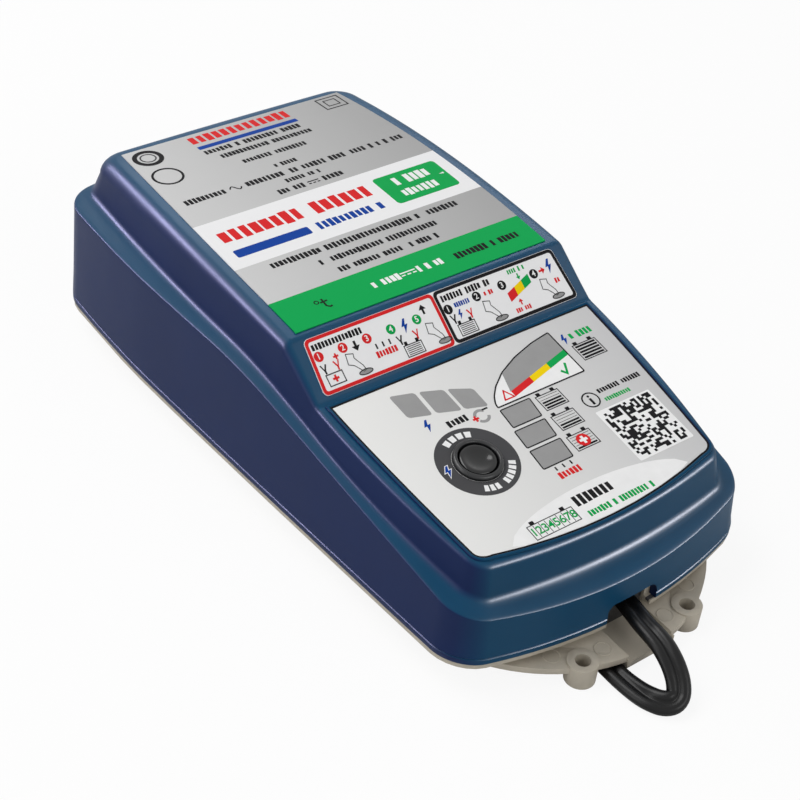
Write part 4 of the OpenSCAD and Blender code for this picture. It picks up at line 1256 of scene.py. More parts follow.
@dataclass
class TwinLead:
    """The flat twin output lead: from the strain relief, under the case and into its hank."""

    width: float = 6.6
    thick: float = 3.3
    # The hank: its inner radius, its straight legs, and how the tie draws them in
    hank_r: float = 9.6
    run: float = 100.0
    turns: int = 3
    pitch: float = 3.85
    waist: float = 2.5
    start: Point = (53.5, 32.0)
    hank_z: float = 3.8
    plug_x: float = -1.0
    plug_y: float = 8.0
    # Steps along a leg and round a fold
    leg_steps: Sequence[int] = (8, 14)
    stop_steps: int = 4
    # A strand's outline in degrees to either side, up to the web
    web: int = 150
    web_step: int = 25
    # Places, with the width's heading and its tip out of level in degrees
    stops: Sequence[Sequence[float]] = (
        (1.5, -98.2, 11.3, 180, 0), (1, -103, 10.9, 180, 0), (0, -108, 11, 180, 0),
        (-0.5, -112, 11.2, 176, -6), (-0.8, -115.8, 10.8, 168, -8), (-1.2, -119.1, 9.7, 161, -9),
        (-1.7, -122.1, 8.1, 154, -6), (-2.5, -124.8, 6.1, 145, 1), (-4, -126.9, 4.2, 128, 14),
        (-6.2, -127.5, 3.4, 96, 30), (-8.3, -126.2, 2.9, 50, 38), (-9.8, -123.5, 2.6, 25, 28),
        (-10.6, -119.6, 2.1, 9, 13), (-11, -114, 1.75, 1, 2), (-11, -108, 1.75, 0, 0),
        (-11, -98, 1.75, 0, 0), (-11, -89, 1.75, -3, 0), (-9, -79, 1.75, -18, 0),
        (-4, -69, 1.75, -35, 0), (4, -61, 1.75, -52, 0), (15, -55, 1.75, -64, 0),
        (28, -50, 1.75, -66, 0), (40, -44, 1.75, -52, 0), (48, -35, 1.75, -33, 0),
        (52.2, -25, 1.75, -15, 0), (53.5, -14, 2, 0, 5), (53.5, -4, 2.7, 0, 25),
        (53.5, 6, 3.2, 0, 50), (53.5, 15, 3.7, 0, 75), (53.5, 24, 3.8, 0, 90),
        (53.5, 32, 3.8, 0, 90),
    )

    def leg(self, turn: float, leg: int, v: float) -> Point:
        """Finds a place in the hank.

        Args:
            turn: turns before this one.
            leg: 0 out, 1 fold, 2 back or 3 fold.
            v: share of the way along the leg.

        Returns:
            The place, from the hank's middle.
        """
        out = self.hank_r + self.pitch * self.turns
        past = {0: 0.0, 1: v / 2, 2: 0.5, 3: 0.5 + v / 2}[leg]
        r = out - self.pitch * (turn + past)
        pinch = self.waist * math.sin(math.pi * v) ** 2
        a = math.pi * v
        if leg == 0:
            return (pinch - r, self.run * (v - 0.5))
        if leg == 1:
            return (-r * math.cos(a), self.run / 2 + r * math.sin(a))
        if leg == 2:
            return (r - pinch, self.run * (0.5 - v))
        return (r * math.cos(a), -self.run / 2 - r * math.sin(a))

    def tail(self, v: float) -> Point:
        """Finds a place on the stretch from the last fold to the plug.

        Args:
            v: share of the way.

        Returns:
            The place, from the hank's middle.
        """
        eased = (1 - math.cos(math.pi * v)) / 2
        return (
            (self.plug_x + self.hank_r) * eased - self.hank_r,
            (self.plug_y + self.run / 2) * v - self.run / 2,
        )

    def route(self) -> list[tuple[Vector, Vector]]:
        """Draws the lead's middle line.

        Returns:
            Its points and width directions, in mm.
        """
        made = []
        for x, y, z, az, tip in self.stops:
            a, t = math.radians(az), math.radians(tip)
            made.append((
                Vector((x, y, z)),
                Vector((math.cos(a) * math.cos(t), math.sin(a) * math.cos(t), math.sin(t))),
            ))
        made = self.smoothed(made, self.stop_steps)
        out = self.hank_r + self.pitch * self.turns
        at = (self.start[0] + out, self.start[1] + self.run / 2)
        straight, fold = self.leg_steps
        flat = [
            self.leg(turn, leg, i / steps)
            for turn in range(self.turns)
            for leg, steps in enumerate((straight, fold, straight, fold))
            for i in range(steps)
        ]
        flat += [self.tail(i / fold) for i in range(fold + 1)]
        up = Vector((0, 0, 1))
        return made[:-1] + [(Vector((at[0] + x, at[1] + y, self.hank_z)), up) for x, y in flat]

    def smoothed(
        self, pairs: list[tuple[Vector, Vector]], steps: int
    ) -> list[tuple[Vector, Vector]]:
        """Draws a smooth line through points and width directions.

        Args:
            pairs: the points and directions.
            steps: steps from each to the next.

        Returns:
            The points and directions of the line.
        """
        made = []
        last = len(pairs) - 1
        for i in range(last):
            for k in range(steps):
                t = k / steps
                row = []
                for c in (0, 1):
                    p0, p1 = pairs[max(i - 1, 0)][c], pairs[i][c]
                    p2, p3 = pairs[i + 1][c], pairs[min(i + 2, last)][c]
                    row.append(0.5 * (
                        2 * p1 + (p2 - p0) * t + (2 * p0 - 5 * p1 + 4 * p2 - p3) * t * t
                        + (3 * p1 - p0 - 3 * p2 + p3) * t**3
                    ))
                made.append((row[0], row[1]))
        return made + [pairs[-1]]

    def section(self) -> Shape:
        """Draws the lead's outline, two round strands joined by a thinner web.

        Returns:
            Its points, across and along the thickness.
        """
        r = self.thick / 2
        off = self.width / 2 - r
        turns = [math.radians(d) for d in range(-self.web, self.web + 1, self.web_step)]
        right = [(off + r * math.cos(a), r * math.sin(a)) for a in turns]
        return right + [(-x, -y) for x, y in right]

    def build(self) -> Object:
        """Returns:
            The piece.
        """
        route = self.route()
        outline = self.section()
        m = len(outline)
        points: list[Place] = []
        for i, (centre, wide) in enumerate(route):
            ahead = route[min(i + 1, len(route) - 1)][0] - route[max(i - 1, 0)][0]
            if i == 0:
                ahead = Vector((0, -1, 0))
            if i == len(route) - 1:
                ahead = Vector((0, 1, 0))
            t = ahead.normalized()
            w = (wide - t * wide.dot(t)).normalized()
            n = t.cross(w)
            points += [tuple(centre + w * x + n * y) for x, y in outline]
        faces: list[list[int]] = [list(range(m))[::-1]]
        for i in range(len(route) - 1):
            a = i * m
            faces += [[a + j, a + (j + 1) % m, a + m + (j + 1) % m, a + m + j] for j in range(m)]
        faces.append(list(range((len(route) - 1) * m, len(route) * m)))
        mesh = mesh_from("output_lead", points, faces)
        obj = make_piece("output_lead", mesh, PVC, "cord_black", ["lead_run", "lead_hank"], 50)
        path = [tuple(c * MM for c in centre) for centre, _ in route]
        length = sum(math.dist(p, q) for p, q in zip(path, path[1:]))
        log.info("lead length %.3f m", length)
        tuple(path[0])
        return obj


# ---- tray, button -------------------------------------------------------------------------------


@dataclass
class Tray:
    """The grey base tray, its moulded edges eased, and the rings moulded in its ears."""

    ease: float = 0.35
    ease_steps: int = 2
    # Least angle of an eased edge, and the angle and gap under which facets and corners join
    ease_from: float = 40.0
    flat: float = 2.0
    weld: float = 1e-6
    # The rings moulded in the ears, with half their width at foot and top
    mark_r: float = 2.3
    mark_foot: float = 0.22
    mark_top: float = 0.12
    mark_h: float = 0.16
    mark_sink: float = 0.02
    mark_sides: int = 40
    marks: Sequence[Point] = ((24.3, -100.1), (-24.3, -100.1), (11.3, -105.5), (-11.3, -105.5))
    ear_h: float = 5.9

    def build(self) -> None:
        """Builds the eased tray in place of its CAD node, and the rings in its ears."""
        source = frame["nodes"]["base_tray"]
        work = bmesh.new()
        work.from_mesh(source.data)
        bmesh.ops.remove_doubles(work, verts=work.verts, dist=self.weld)
        bmesh.ops.dissolve_limit(
            work, angle_limit=math.radians(self.flat), verts=work.verts, edges=work.edges
        )
        mesh = bpy.data.meshes.new("tray")
        work.to_mesh(mesh)
        work.free()
        obj = bpy.data.objects.new("tray", mesh)
        bpy.context.collection.objects.link(obj)
        eased = obj.modifiers.new("ease", "BEVEL")
        eased.width = self.ease * MM
        eased.segments = self.ease_steps
        eased.limit_method = "ANGLE"
        eased.angle_limit = math.radians(self.ease_from)
        eased.use_clamp_overlap = True
        make_piece("base_tray_moulding", evaluated(obj), TRAY, "tray_grey", ["base_tray"], 30)
        foot, head, r = self.mark_foot, self.mark_top, self.mark_r
        ring = [(r - foot, 0.0), (r + foot, 0.0), (r + head, self.mark_h), (r - head, self.mark_h)]
        base_z = self.ear_h - self.mark_sink
        forms = [
            lathe(ring, self.mark_sides, lambda p: (x + p[0], y * side + p[1], base_z + p[2]))
            for side in (1, -1)
            for x, y in self.marks
        ]
        make_piece("ear_marks", mesh_from("marks", *gather(forms)), TRAY, "tray_grey")


@dataclass
class ButtonSet:
    """The round push button and the bezel that frames it on the panel."""

    form: CaseForm
    # Profiles as radius and height: the bezel with its collar, and the dished cap
    ring: Sequence[Point] = (
        (5.5, -3.8), (7.0, -3.8), (7.0, -2.7), (6.2, -2.7), (6.2, 0.0), (7.0, 0.0), (7.0, 0.55),
        (6.9, 0.9), (6.66, 1.2), (6.35, 1.36), (6.05, 1.4), (5.85, 1.36), (5.7, 1.24),
        (5.56, 1.0), (5.5, 0.7),
    )
    cap: Sequence[Point] = (
        (0.0, -6.8), (1.7, -6.8), (1.7, -5.1), (6.1, -5.1), (6.1, -4.1), (5.2, -4.1), (5.2, 0.5),
        (5.12, 0.76), (4.9, 0.97), (4.6, 1.08), (4.3, 1.1), (3.9, 1.02), (3.4, 0.84),
        (2.8, 0.62), (2.1, 0.44), (1.3, 0.32), (0.6, 0.27), (0.0, 0.26),
    )
    sides: int = 96

    def at(self, p: Place) -> Place:
        """Maps a point of the button's own frame to the charger's."""
        return self.form.on_panel(self.form.button_x + p[0], self.form.button_s - p[1], p[2])

    def build(self) -> None:
        """Builds the bezel and the button in place of their CAD nodes."""
        for name, profile, finish, node, body in (
            ("bezel_ring", self.ring, BEZEL, "button_bezel", BODY),
            ("button_cap", self.cap, BUTTON, "mode_button", "button"),
        ):
            mesh = mesh_from(name, *lathe(profile, self.sides, self.at))
            make_piece(name, mesh, finish, "button_rubber", [node], 50, body)


# ---- printed labels -----------------------------------------------------------------------------


class Ink(Enum):
    """Screen inks of the labels, with their sRGB colours."""

    RED = "#d82a2d"
    BLUE = "#15429a"
    GREEN = "#12a350"
    YELLOW = "#f4d313"
    BLACK = "#1d1c1e"
    WHITE = "#f1f1f1"
    WINDOW = "#9b9b9b"
    DISC = "#4b4b4d"

    def finish(self) -> Finish:
        """Returns the ink as a finish: a dense, even film with a slight satin."""
        return Finish(f"ink_{self.name.lower()}", self.value, 0.42, ior=1.48, shade=0.03, patch=5,
                      grain=0.25, depth=0.002, rough_spread=0.04, specular=0.06)


# Share of a digit's type size that is its height, how much its strokes are thickened, and the
# distance in mm under which two of its corners count as one
DIGIT_HEIGHT = 0.7
DIGIT_WEIGHT = 0.02
DIGIT_WELD = 1e-5
# Least share of the way that a sharp corner may be moved with its sides
LEAST_TURN = 0.35
# Unit shapes, from 0 to 1 across and down
BOLT: Shape = [(0.6, 0), (0.1, 0.52), (0.42, 0.5), (0.3, 1), (0.92, 0.4), (0.58, 0.42), (0.85, 0)]
ARROW: Shape = [(0.36, 0), (0.64, 0), (0.64, 0.5), (1, 0.5), (0.5, 1), (0, 0.5), (0.36, 0.5)]
ASIDE: Shape = [(q, p) for p, q in ARROW]
PLUS: Shape = [(0.34, 0), (0.66, 0), (0.66, 0.34), (1, 0.34), (1, 0.66), (0.66, 0.66), (0.66, 1),
               (0.34, 1), (0.34, 0.66), (0, 0.66), (0, 0.34), (0.34, 0.34)]
TICK: Shape = [(0, 0.55), (0.18, 0.42), (0.4, 0.7), (0.82, 0), (1, 0.08), (0.42, 1)]
PLIERS: Shape = [(0, 0), (0.2, 0), (0.45, 0.5), (0.8, 0), (1, 0.05), (0.62, 0.62), (0.62, 1),
                 (0.4, 1), (0.36, 0.66)]
TRIANGLE: Shape = [(0.5, 0), (1, 1), (0, 1)]
FINGER: Shape = [(0.1, 0.0), (0.55, 0.1), (0.5, 0.3), (0.8, 0.72), (0.86, 0.95), (0.68, 1.0),
                 (0.3, 0.62), (0.0, 0.5)]


def fitted(shape: Shape, x: float, s: float, w: float, h: float) -> Shape:
    """Places a unit shape on a label.

    Args:
        shape: its points.
        x: left edge.
        s: upper edge.
        w: width, negative to mirror it.
        h: height, negative to turn it over.

    Returns:
        Its points in mm.
    """
    return [(x + (p if w > 0 else p - 1) * w, s + (q if h > 0 else q - 1) * h) for p, q in shape]


def softened(corners: Shape, r: float, steps: int = 4) -> Shape:
    """Rounds every corner of an outline.

    Args:
        corners: its corners.
        r: length that each rounding takes from a side.
        steps: steps of each rounding.

    Returns:
        The rounded outline, as many points for each corner.
    """
    made: Shape = []
    for i, k in enumerate(corners):
        a, b = corners[i - 1], corners[(i + 1) % len(corners)]
        ends = [along(k, p, r / math.dist(p, k)) for p in (a, b)]
        made += bend(ends[0], k, ends[1], steps)
    return made


def block(x0: float, s0: float, x1: float, s1: float, r: float = 0.0) -> Shape:
    """Returns a rectangle, its corners rounded by r."""
    corners = [(x0, s0), (x1, s0), (x1, s1), (x0, s1)]
    return softened(corners, r) if r > 0 else corners


def disc(x: float, s: float, rx: float, ry: float = 0.0, sides: int = 28) -> Shape:
    """Returns an ellipse about a place."""
    turns = [2 * math.pi * k / sides for k in range(sides)]
    return [(x + rx * math.cos(a), s + (ry or rx) * math.sin(a)) for a in turns]


def inset(outline: Shape, d: float) -> Shape:
    """Moves an outline inwards at every point.

    Args:
        outline: its points.
        d: how far, negative to move it outwards.

    Returns:
        The new outline, with as many points.
    """
    area = sum(cross2(outline[i - 1], p) for i, p in enumerate(outline))
    way = 1 if area > 0 else -1
    made = []
    for i, p in enumerate(outline):
        a, b = outline[i - 1], outline[(i + 1) % len(outline)]
        u = Vector((p[0] - a[0], p[1] - a[1])).normalized()
        v = Vector((b[0] - p[0], b[1] - p[1])).normalized()
        n = Vector((-u.y - v.y, u.x + v.x)).normalized()
        reach = d * way / max(LEAST_TURN, n.dot(Vector((-u.y, u.x))))
        made.append((p[0] + n.x * reach, p[1] + n.y * reach))
    return made


def stroke(line: Shape, width: float) -> Shape:
    """Draws an open line with a pen.

    Args:
        line: its points.
        width: the pen's width.

    Returns:
        The outline.
    """
    left, right = [], []
    for i, p in enumerate(line):
        a, b = line[max(i - 1, 0)], line[min(i + 1, len(line) - 1)]
        t = Vector((b[0] - a[0], b[1] - a[1])).normalized() * width / 2
        left.append((p[0] - t.y, p[1] + t.x))
        right.append((p[0] + t.y, p[1] - t.x))
    return left + right[::-1]


@dataclass
class PrintRow:
    """A run of blocks beside each other: letters shown only as blocks, bars, ticks or dashes.

    Attributes:
        count: how many places the run has.
        step: distance from place to place.
        size: width and height of a block.
        vary: least share of the width and height that a block may have.
        skip: share of the places left out.
        seed: which run of chance it takes.
        down: whether the run goes down the label and not across it.
    """

    count: int
    step: float
    size: Point
    vary: Point = (1.0, 1.0)
    skip: float = 0.0
    seed: int = 1
    down: bool = False

    def tree(self) -> Tree:
        """Makes the node tree that repeats a block along a run, or finds the one already made.

        Returns:
            The tree.
        """
        found = bpy.data.node_groups.get("print_row")
        if found:
            return found
        tree = bpy.data.node_groups.new("print_row", "GeometryNodeTree")
        sockets = (
            ("Count", "NodeSocketInt"), ("Offset", "NodeSocketVector"),
            ("Size", "NodeSocketVector"), ("Least", "NodeSocketVector"),
            ("Skip", "NodeSocketFloat"), ("Seed", "NodeSocketInt"),
            ("Material", "NodeSocketMaterial"),
        )
        for name, kind in sockets:
            tree.interface.new_socket(name, in_out="INPUT", socket_type=kind)
        tree.interface.new_socket("Geometry", in_out="OUTPUT", socket_type="NodeSocketGeometry")
        given = add_node(tree, "NodeGroupInput").outputs
        line = add_node(
            tree, "GeometryNodeMeshLine", links={"Count": given["Count"], "Offset": given["Offset"]}
        )
        chance = add_node(
            tree, "FunctionNodeRandomValue",
            links={6: given["Skip"], 8: given["Seed"]}, data_type="BOOLEAN",
        )
        kept = add_node(
            tree, "GeometryNodeDeleteGeometry",
            links={"Geometry": line.outputs[0], "Selection": chance.outputs[3]}, domain="POINT",
        )
        scale = add_node(
            tree, "FunctionNodeRandomValue", {1: (1.0, 1.0, 1.0)},
            {0: given["Least"], 8: given["Seed"]}, data_type="FLOAT_VECTOR",
        )
        cube = add_node(tree, "GeometryNodeMeshCube", links={"Size": given["Size"]})
        placed = add_node(
            tree, "GeometryNodeInstanceOnPoints",
            links={
                "Points": kept.outputs[0], "Instance": cube.outputs[0], "Scale": scale.outputs[0]
            },
        )
        real = add_node(
            tree, "GeometryNodeRealizeInstances", links={"Geometry": placed.outputs[0]}
        )
        dressed = add_node(
            tree, "GeometryNodeSetMaterial",
            links={"Geometry": real.outputs[0], "Material": given["Material"]},
        )
        add_node(tree, "NodeGroupOutput", links={0: dressed.outputs[0]})
        return tree

    def mesh(self, ink: Ink) -> Mesh:
        """Makes the run as a flat mesh in mm, its first block about the origin.

        Args:
            ink: the ink that it is printed in.

        Returns:
            The mesh.
        """
        obj = bpy.data.objects.new("row", bpy.data.meshes.new("row"))
        bpy.context.collection.objects.link(obj)
        made = obj.modifiers.new("row", "NODES")
        made.node_group = self.tree()
        offset = (0.0, self.step, 0.0) if self.down else (self.step, 0.0, 0.0)
        values = {
            "Count": self.count, "Offset": offset, "Size": (*self.size, 1.0),
            "Least": (*self.vary, 1.0), "Skip": self.skip, "Seed": self.seed,
            "Material": ink.finish().material(),
        }
        for item in made.node_group.interface.items_tree:
            if item.in_out == "INPUT":
                made[item.identifier] = values[item.name]
        return evaluated(obj)


@dataclass
class PrintSheet:
    """Everything printed on one label, each shape a film of ink with its own edge.

    Attributes:
        name: the piece's name.
        slot: the record's material slot.
        place: maps (across, down the label, height) to the charger's frame.
        film: height of one layer of ink in mm.
        sunk: how far its foot is sunk in the label.
        fill: share of a line's height that its blocks take.
        letter: width of a letter's place, as a share of the blocks' height.
        vary: least share of its width and height that a block may have.
        gaps: share of the places left out between words.
        posts: where a battery's two posts start, as shares of its width.
        margin: room between a battery's outline and its bars, at each end and at each side.
    """

    name: str
    slot: str
    place: Callable[[float, float, float], Place]
    film: float = 0.035
    sunk: float = 0.02
    fill: float = 0.9
    letter: float = 0.54
    letter_w: float = 0.84
    vary: Point = (0.72, 0.74)
    gaps: float = 0.1
    posts: Point = (0.1, 0.72)
    post_w: float = 0.16
    post_h: float = 0.95
    line: float = 0.28
    thin: float = 0.14
    bars: int = 5
    margin: Point = (0.4, 0.7)
    points: list[Place] = field(default_factory=list)
    faces: list[list[int]] = field(default_factory=list)
    inks: list[Ink] = field(default_factory=list)

    def add(self, ink: Ink, points: Iterable[Place], faces: Iterable[Sequence[int]]) -> None:
        """Takes in a closed form.

        Args:
            ink: its ink.
            points: its corners in the charger's frame.
            faces: corner numbers of each face.
        """
        base = len(self.points)
        self.points += points
        for face in faces:
            self.faces.append([base + k for k in face])
            self.inks.append(ink)

    def plate(self, ink: Ink, outline: Shape, level: int = 1, hole: Sequence[Point] = ()) -> None:
        """Prints one shape.

        Args:
            ink: its ink.
            outline: its outline in mm.
            level: how many layers lie under its face, with its own.
            hole: an inner outline with as many points, for a frame.
        """
        n = len(outline)
        rings = [
            (loop, h) for loop in ([outline, hole] if hole else [outline])
            for h in (-self.sunk, self.film * level)
        ]
        points = [self.place(x, s, h) for loop, h in rings for x, s in loop]
        faces = [[i, (i + 1) % n, n + (i + 1) % n, n + i] for i in range(n)]
        if hole:
            faces += [[2 * n + i, 3 * n + i, 3 * n + (i + 1) % n, 2 * n + (i + 1) % n]
                      for i in range(n)]
            faces += [[a + i, b + i, b + (i + 1) % n, a + (i + 1) % n]
                      for a, b in ((0, 2 * n), (n, 3 * n)) for i in range(n)]
        else:
            faces += [list(range(n))[::-1], list(range(n, 2 * n))]
        self.add(ink, points, faces)

    def frame_line(self, ink: Ink, outline: Shape, width: float, level: int = 2) -> None:
        """Prints a closed line along the inside of an outline."""
        self.plate(ink, outline, level, inset(outline, width))

    def flat_mesh(self, ink: Ink, mesh: Mesh, x: float, s: float, level: int) -> None:
        """Prints a flat mesh made in mm about the origin, its Y running up the label.

        Args:
            ink: its ink.
            mesh: the mesh, whose upper face is at positive Z.
            x: where its origin comes across the label.
            s: where it comes down the label.
            level: layers under its face, with its own.
        """
        heights = (-self.sunk, self.film * level)
        points = [
            self.place(x + v.co.x, s - v.co.y, heights[v.co.z > 0]) for v in mesh.vertices
        ]
        self.add(ink, points, [list(face.vertices) for face in mesh.polygons])
        bpy.data.meshes.remove(mesh)

    def row(self, ink: Ink, x: float, s: float, row: PrintRow, level: int = 1) -> None:
        """Prints a run of blocks from a place on; down the label it runs from low to high."""
        self.flat_mesh(ink, row.mesh(ink), x, s, level)

    def lines(self, table: Table, level: int = 1) -> None:
        """Prints lines of lettering as plain blocks of letter size, with gaps between words.

        Args:
            table: the ink, left end, upper edge, right end, lower edge and seed of each.
            level: layers under their face, with their own.
        """
        for ink, x0, s0, x1, s1, seed in table:
            high = (s1 - s0) * self.fill
            count = max(2, round((x1 - x0) / (high * self.letter)))
            step = (x1 - x0) / count
            size = (step * self.letter_w, high)
            blocks = PrintRow(count, step, size, self.vary, self.gaps, seed)
            self.row(ink, x0 + step / 2, (s0 + s1) / 2, blocks, level)

    def signs(self, table: Table) -> None:
        """Prints unit shapes.

        Args:
            table: the ink, shape, left edge, upper edge, width, height and level of each.
        """
        for ink, shape, x, s, w, h, level in table:
            self.plate(ink, fitted(shape, x, s, w, h), level)

    def discs(self, table: Table) -> None:
        """Prints discs.

        Args:
            table: the ink, middle, radius, sides and level of each.
        """
        for ink, x, s, r, sides, level in table:
            self.plate(ink, disc(x, s, r, sides=sides), level)

    def rings(self, table: Table) -> None:
        """Prints rings.

        Args:
            table: the ink, middle, radius, sides and line width of each.
        """
        for ink, x, s, r, sides, width in table:
            self.frame_line(ink, disc(x, s, r, sides=sides), width, 1)

    def blocks(self, table: Table) -> None:
        """Prints plain blocks.

        Args:
            table: the ink, left, top, right, bottom, corner and level of each.
        """
        for ink, x0, s0, x1, s1, corner, level in table:
            self.plate(ink, block(x0, s0, x1, s1, corner), level)

    def number(self, ink: Ink, text: str, x: float, s: float, high: float, level: int) -> None:
        """Prints a plain number about a place.

        Args:
            ink: its ink.
            text: its digits.
            x: its middle across the label.
            s: its middle down the label.
            high: height of a digit.
            level: layers under its face, with its own.
        """
        curve = bpy.data.curves.new("number", "FONT")
        curve.body = text
        curve.size = high / DIGIT_HEIGHT
        curve.extrude = 0.5
        curve.offset = high * DIGIT_WEIGHT
        curve.resolution_u = 3
        curve.align_x = "CENTER"
        curve.align_y = "CENTER"
        obj = bpy.data.objects.new("number", curve)
        bpy.context.collection.objects.link(obj)
        mesh = evaluated(obj)
        work = bmesh.new()
        work.from_mesh(mesh)
        bmesh.ops.remove_doubles(work, verts=work.verts, dist=DIGIT_WELD)
        work.to_mesh(mesh)
        work.free()
        self.flat_mesh(ink, mesh, x, s, level)

    def battery(
        self, x: float, s: float, w: float, h: float, bars: int, thick: float = 0.5
    ) -> None:
        """Prints a battery's outline with its two posts and a run of charge bars.

        Args:
            x: left edge.
            s: upper edge.
            w: width.
            h: height.
            bars: thick bars from the bottom up; the rest are thin.
            thick: thickness of a bar as a share of its pitch.
        """
        self.frame_line(Ink.BLACK, block(x, s, x + w, s + h), self.line, 1)
        for post in (x + share * w for share in self.posts):
            outline = block(post, s - self.post_h, post + self.post_w * w, s + self.sunk)
            self.plate(Ink.BLACK, outline)
        end, side = self.margin
        pitch = (h - 2 * end) / self.bars
        runs = ((self.thin, 0, self.bars), (pitch * thick, self.bars - bars, bars))
        for size, first, count in runs:
            if count:
                bar = PrintRow(count, -pitch, (w - 2 * side, size), down=True)
                self.row(Ink.BLACK, x + w / 2, s + end + pitch * (first + 0.5), bar, 1)

    def build(self) -> Object:
        """Builds the sheet as one piece with a material for each ink.

        Returns:
            The piece.
        """
        mesh = mesh_from(self.name, self.points, self.faces)
        used = list(dict.fromkeys(self.inks))
        for ink in used:
            mesh.materials.append(ink.finish().material())
        for face, ink in zip(mesh.polygons, self.inks):
            face.material_index = used.index(ink)
        return make_piece(self.name, mesh, None, self.slot, sharp=25)


@dataclass
class RatingLabel:
    """The crowned upper label: its banded film and what is printed on it."""

    form: CaseForm
    rear_y: float = 92.0
    front_y: float = -7.2
    front_hw: float = 43.9
    taper: float = 4.3
    wide_y: float = 10.0
    rows: int = 50
    heading: Table = (
        (Ink.RED, -18.4, 0.6, 17.9, 6.3, 3), (Ink.BLACK, -18.2, 10.5, 16.5, 13.3, 5),
        (Ink.BLACK, -15.1, 14.9, 17.9, 17.6, 7), (Ink.BLACK, -11.1, 20.9, 11.8, 23.5, 9),
        (Ink.BLACK, -4.4, 27.9, 4.7, 30.2, 2), (Ink.BLACK, -40, 32.3, -24.6, 35.3, 11),
        (Ink.BLACK, -17.6, 32.3, -4.3, 35.3, 12), (Ink.BLACK, -2.1, 32.3, 18.1, 35.3, 14),
        (Ink.BLACK, 20.1, 32.3, 39.9, 35.3, 15), (Ink.BLACK, -6.3, 36.8, 6.1, 39.1, 4),
        (Ink.BLACK, -11.8, 40.8, -2.4, 43.6, 16), (Ink.BLACK, 4.1, 40.8, 11.4, 43.6, 18),
        (Ink.RED, -39.6, 50.4, 12.8, 57.6, 21), (Ink.BLUE, -11.8, 60.2, 11.8, 64.2, 23),
        (Ink.BLACK, -34.1, 70.3, 31.8, 73.2, 24), (Ink.BLACK, -21.2, 75.5, 20.3, 78.2, 26),
        (Ink.BLACK, -18.2, 80.6, 17, 83.3, 27), (Ink.WHITE, -14.1, 90.5, -4.3, 93.8, 31),
        (Ink.WHITE, 1.6, 90.5, 10.7, 93.8, 32), (Ink.BLACK, 15, 90.9, 38.5, 94, 33),
    )
    badge: Table = (
        (Ink.WHITE, 21.3, 51.8, 34.5, 56.7, 41), (Ink.WHITE, 20.3, 58.4, 35.3, 62.4, 43),
    )
    bars: Table = (
        (Ink.BLUE, -18.2, 7.6, 17.8, 9.5, 0.0, 1), (Ink.BLUE, -39.6, 60.7, -14.4, 64.2, 0.6, 1),
        (Ink.GREEN, 16.2, 50.1, 39.4, 64.4, 1.3, 1),
    )
    rings: Table = (
        (Ink.BLACK, -34, 5.6, 4.8, 48, 1.5), (Ink.BLACK, -34.6, 18, 4.9, 48, 0.75),
        (Ink.DISC, -34, 5.6, 2.6, 36, 0.5), (Ink.BLACK, -31.9, 90.9, 0.8, 16, 0.3),
    )
    boxes: Sequence[Sequence[float]] = ((29.8, 0.8, 38.2, 8.3, 0.45), (31.7, 2.5, 36.3, 6.6, 0.4))
    # Start, middle, step and height of the sign for alternating current
    wave: Sequence[float] = (-23.0, 33.8, 0.24, 1.1)
    wave_steps: int = 16
    pen: float = 0.45
    # Ink, place and size of the signs for direct current
    currents: Table = (
        (Ink.BLACK, 0.9, 42.2, 1.0), (Ink.WHITE, -1.4, 92.1, 1.3),
    )
    # That sign's line, half its length, top and bottom, then pitch, width and drop of its dashes
    direct: Sequence[float] = (2.0, 0.75, 0.3, 1.5, 0.95, 0.55)
    # Strokes of the sign for temperature, with their widths
    stem: Table = (
        ([(-29.9, 90.2), (-30.1, 93.2), (-29.3, 94), (-28.5, 93.7)], 0.6),
        ([(-31, 91.5), (-28.6, 91.3)], 0.5),
    )

    def half(self, y: float) -> float:
        """Finds the label's half width.

        Args:
            y: the place along the case.

        Returns:
            The half width.
        """
        past = max(0.0, y - self.wide_y) / (self.rear_y - self.wide_y)
        return self.front_hw - self.taper * past**2

    def film(self) -> None:
        """Builds the film in place of its CAD node, a smooth sheet over the crown."""
        f = self.form
        points: list[Place] = []
        for k in range(self.rows + 1):
            y = self.rear_y + (self.front_y - self.rear_y) * k / self.rows
            hw, z = self.half(y), f.label_z(y)
            points += [(-hw, y, z), (hw, y, z), (hw, y, z - f.label_t), (-hw, y, z - f.label_t)]
        last = len(points) - 4
        faces: list[Sequence[int]] = [(0, 1, 2, 3), (last + 3, last + 2, last + 1, last)]
        faces += [
            (a + i, a + (i + 1) % 4, a + 4 + (i + 1) % 4, a + 4 + i)
            for a in range(0, last, 4) for i in range(4)
        ]
        make_piece("rating_film", mesh_from("rating_film", points, faces), RATING, "label_silver",
                   ["rating_label"], 40)

    def build(self) -> None:
        """Builds the film and its printing."""
        self.film()
        p = PrintSheet("rating_print", "label_silver", self.form.on_top)
        p.lines(self.heading)
        p.blocks(self.bars)
        p.lines(self.badge, 2)
        p.rings(self.rings)
        for x0, s0, x1, s1, width in self.boxes:
            p.frame_line(Ink.BLACK, block(x0, s0, x1, s1), width, 1)
        x, s, step, high = self.wave
        turns = [2 * math.pi * k / self.wave_steps for k in range(self.wave_steps + 1)]
        line = [(x + step * k, s - high * math.sin(a)) for k, a in enumerate(turns)]
        p.plate(Ink.BLACK, stroke(line, self.pen))
        # Direct current is a line over three dashes
        half, top, low, pitch, wide, drop = self.direct
        for ink, x, s, size in self.currents:
            p.plate(ink, block(x - half * size, s - top, x + half * size, s - low))
            dashes = PrintRow(3, pitch * size, (wide * size, self.pen))
            p.row(ink, x - dashes.step, s + drop, dashes)
        for line, width in self.stem:
            p.plate(Ink.BLACK, stroke(line, width))
        p.build()


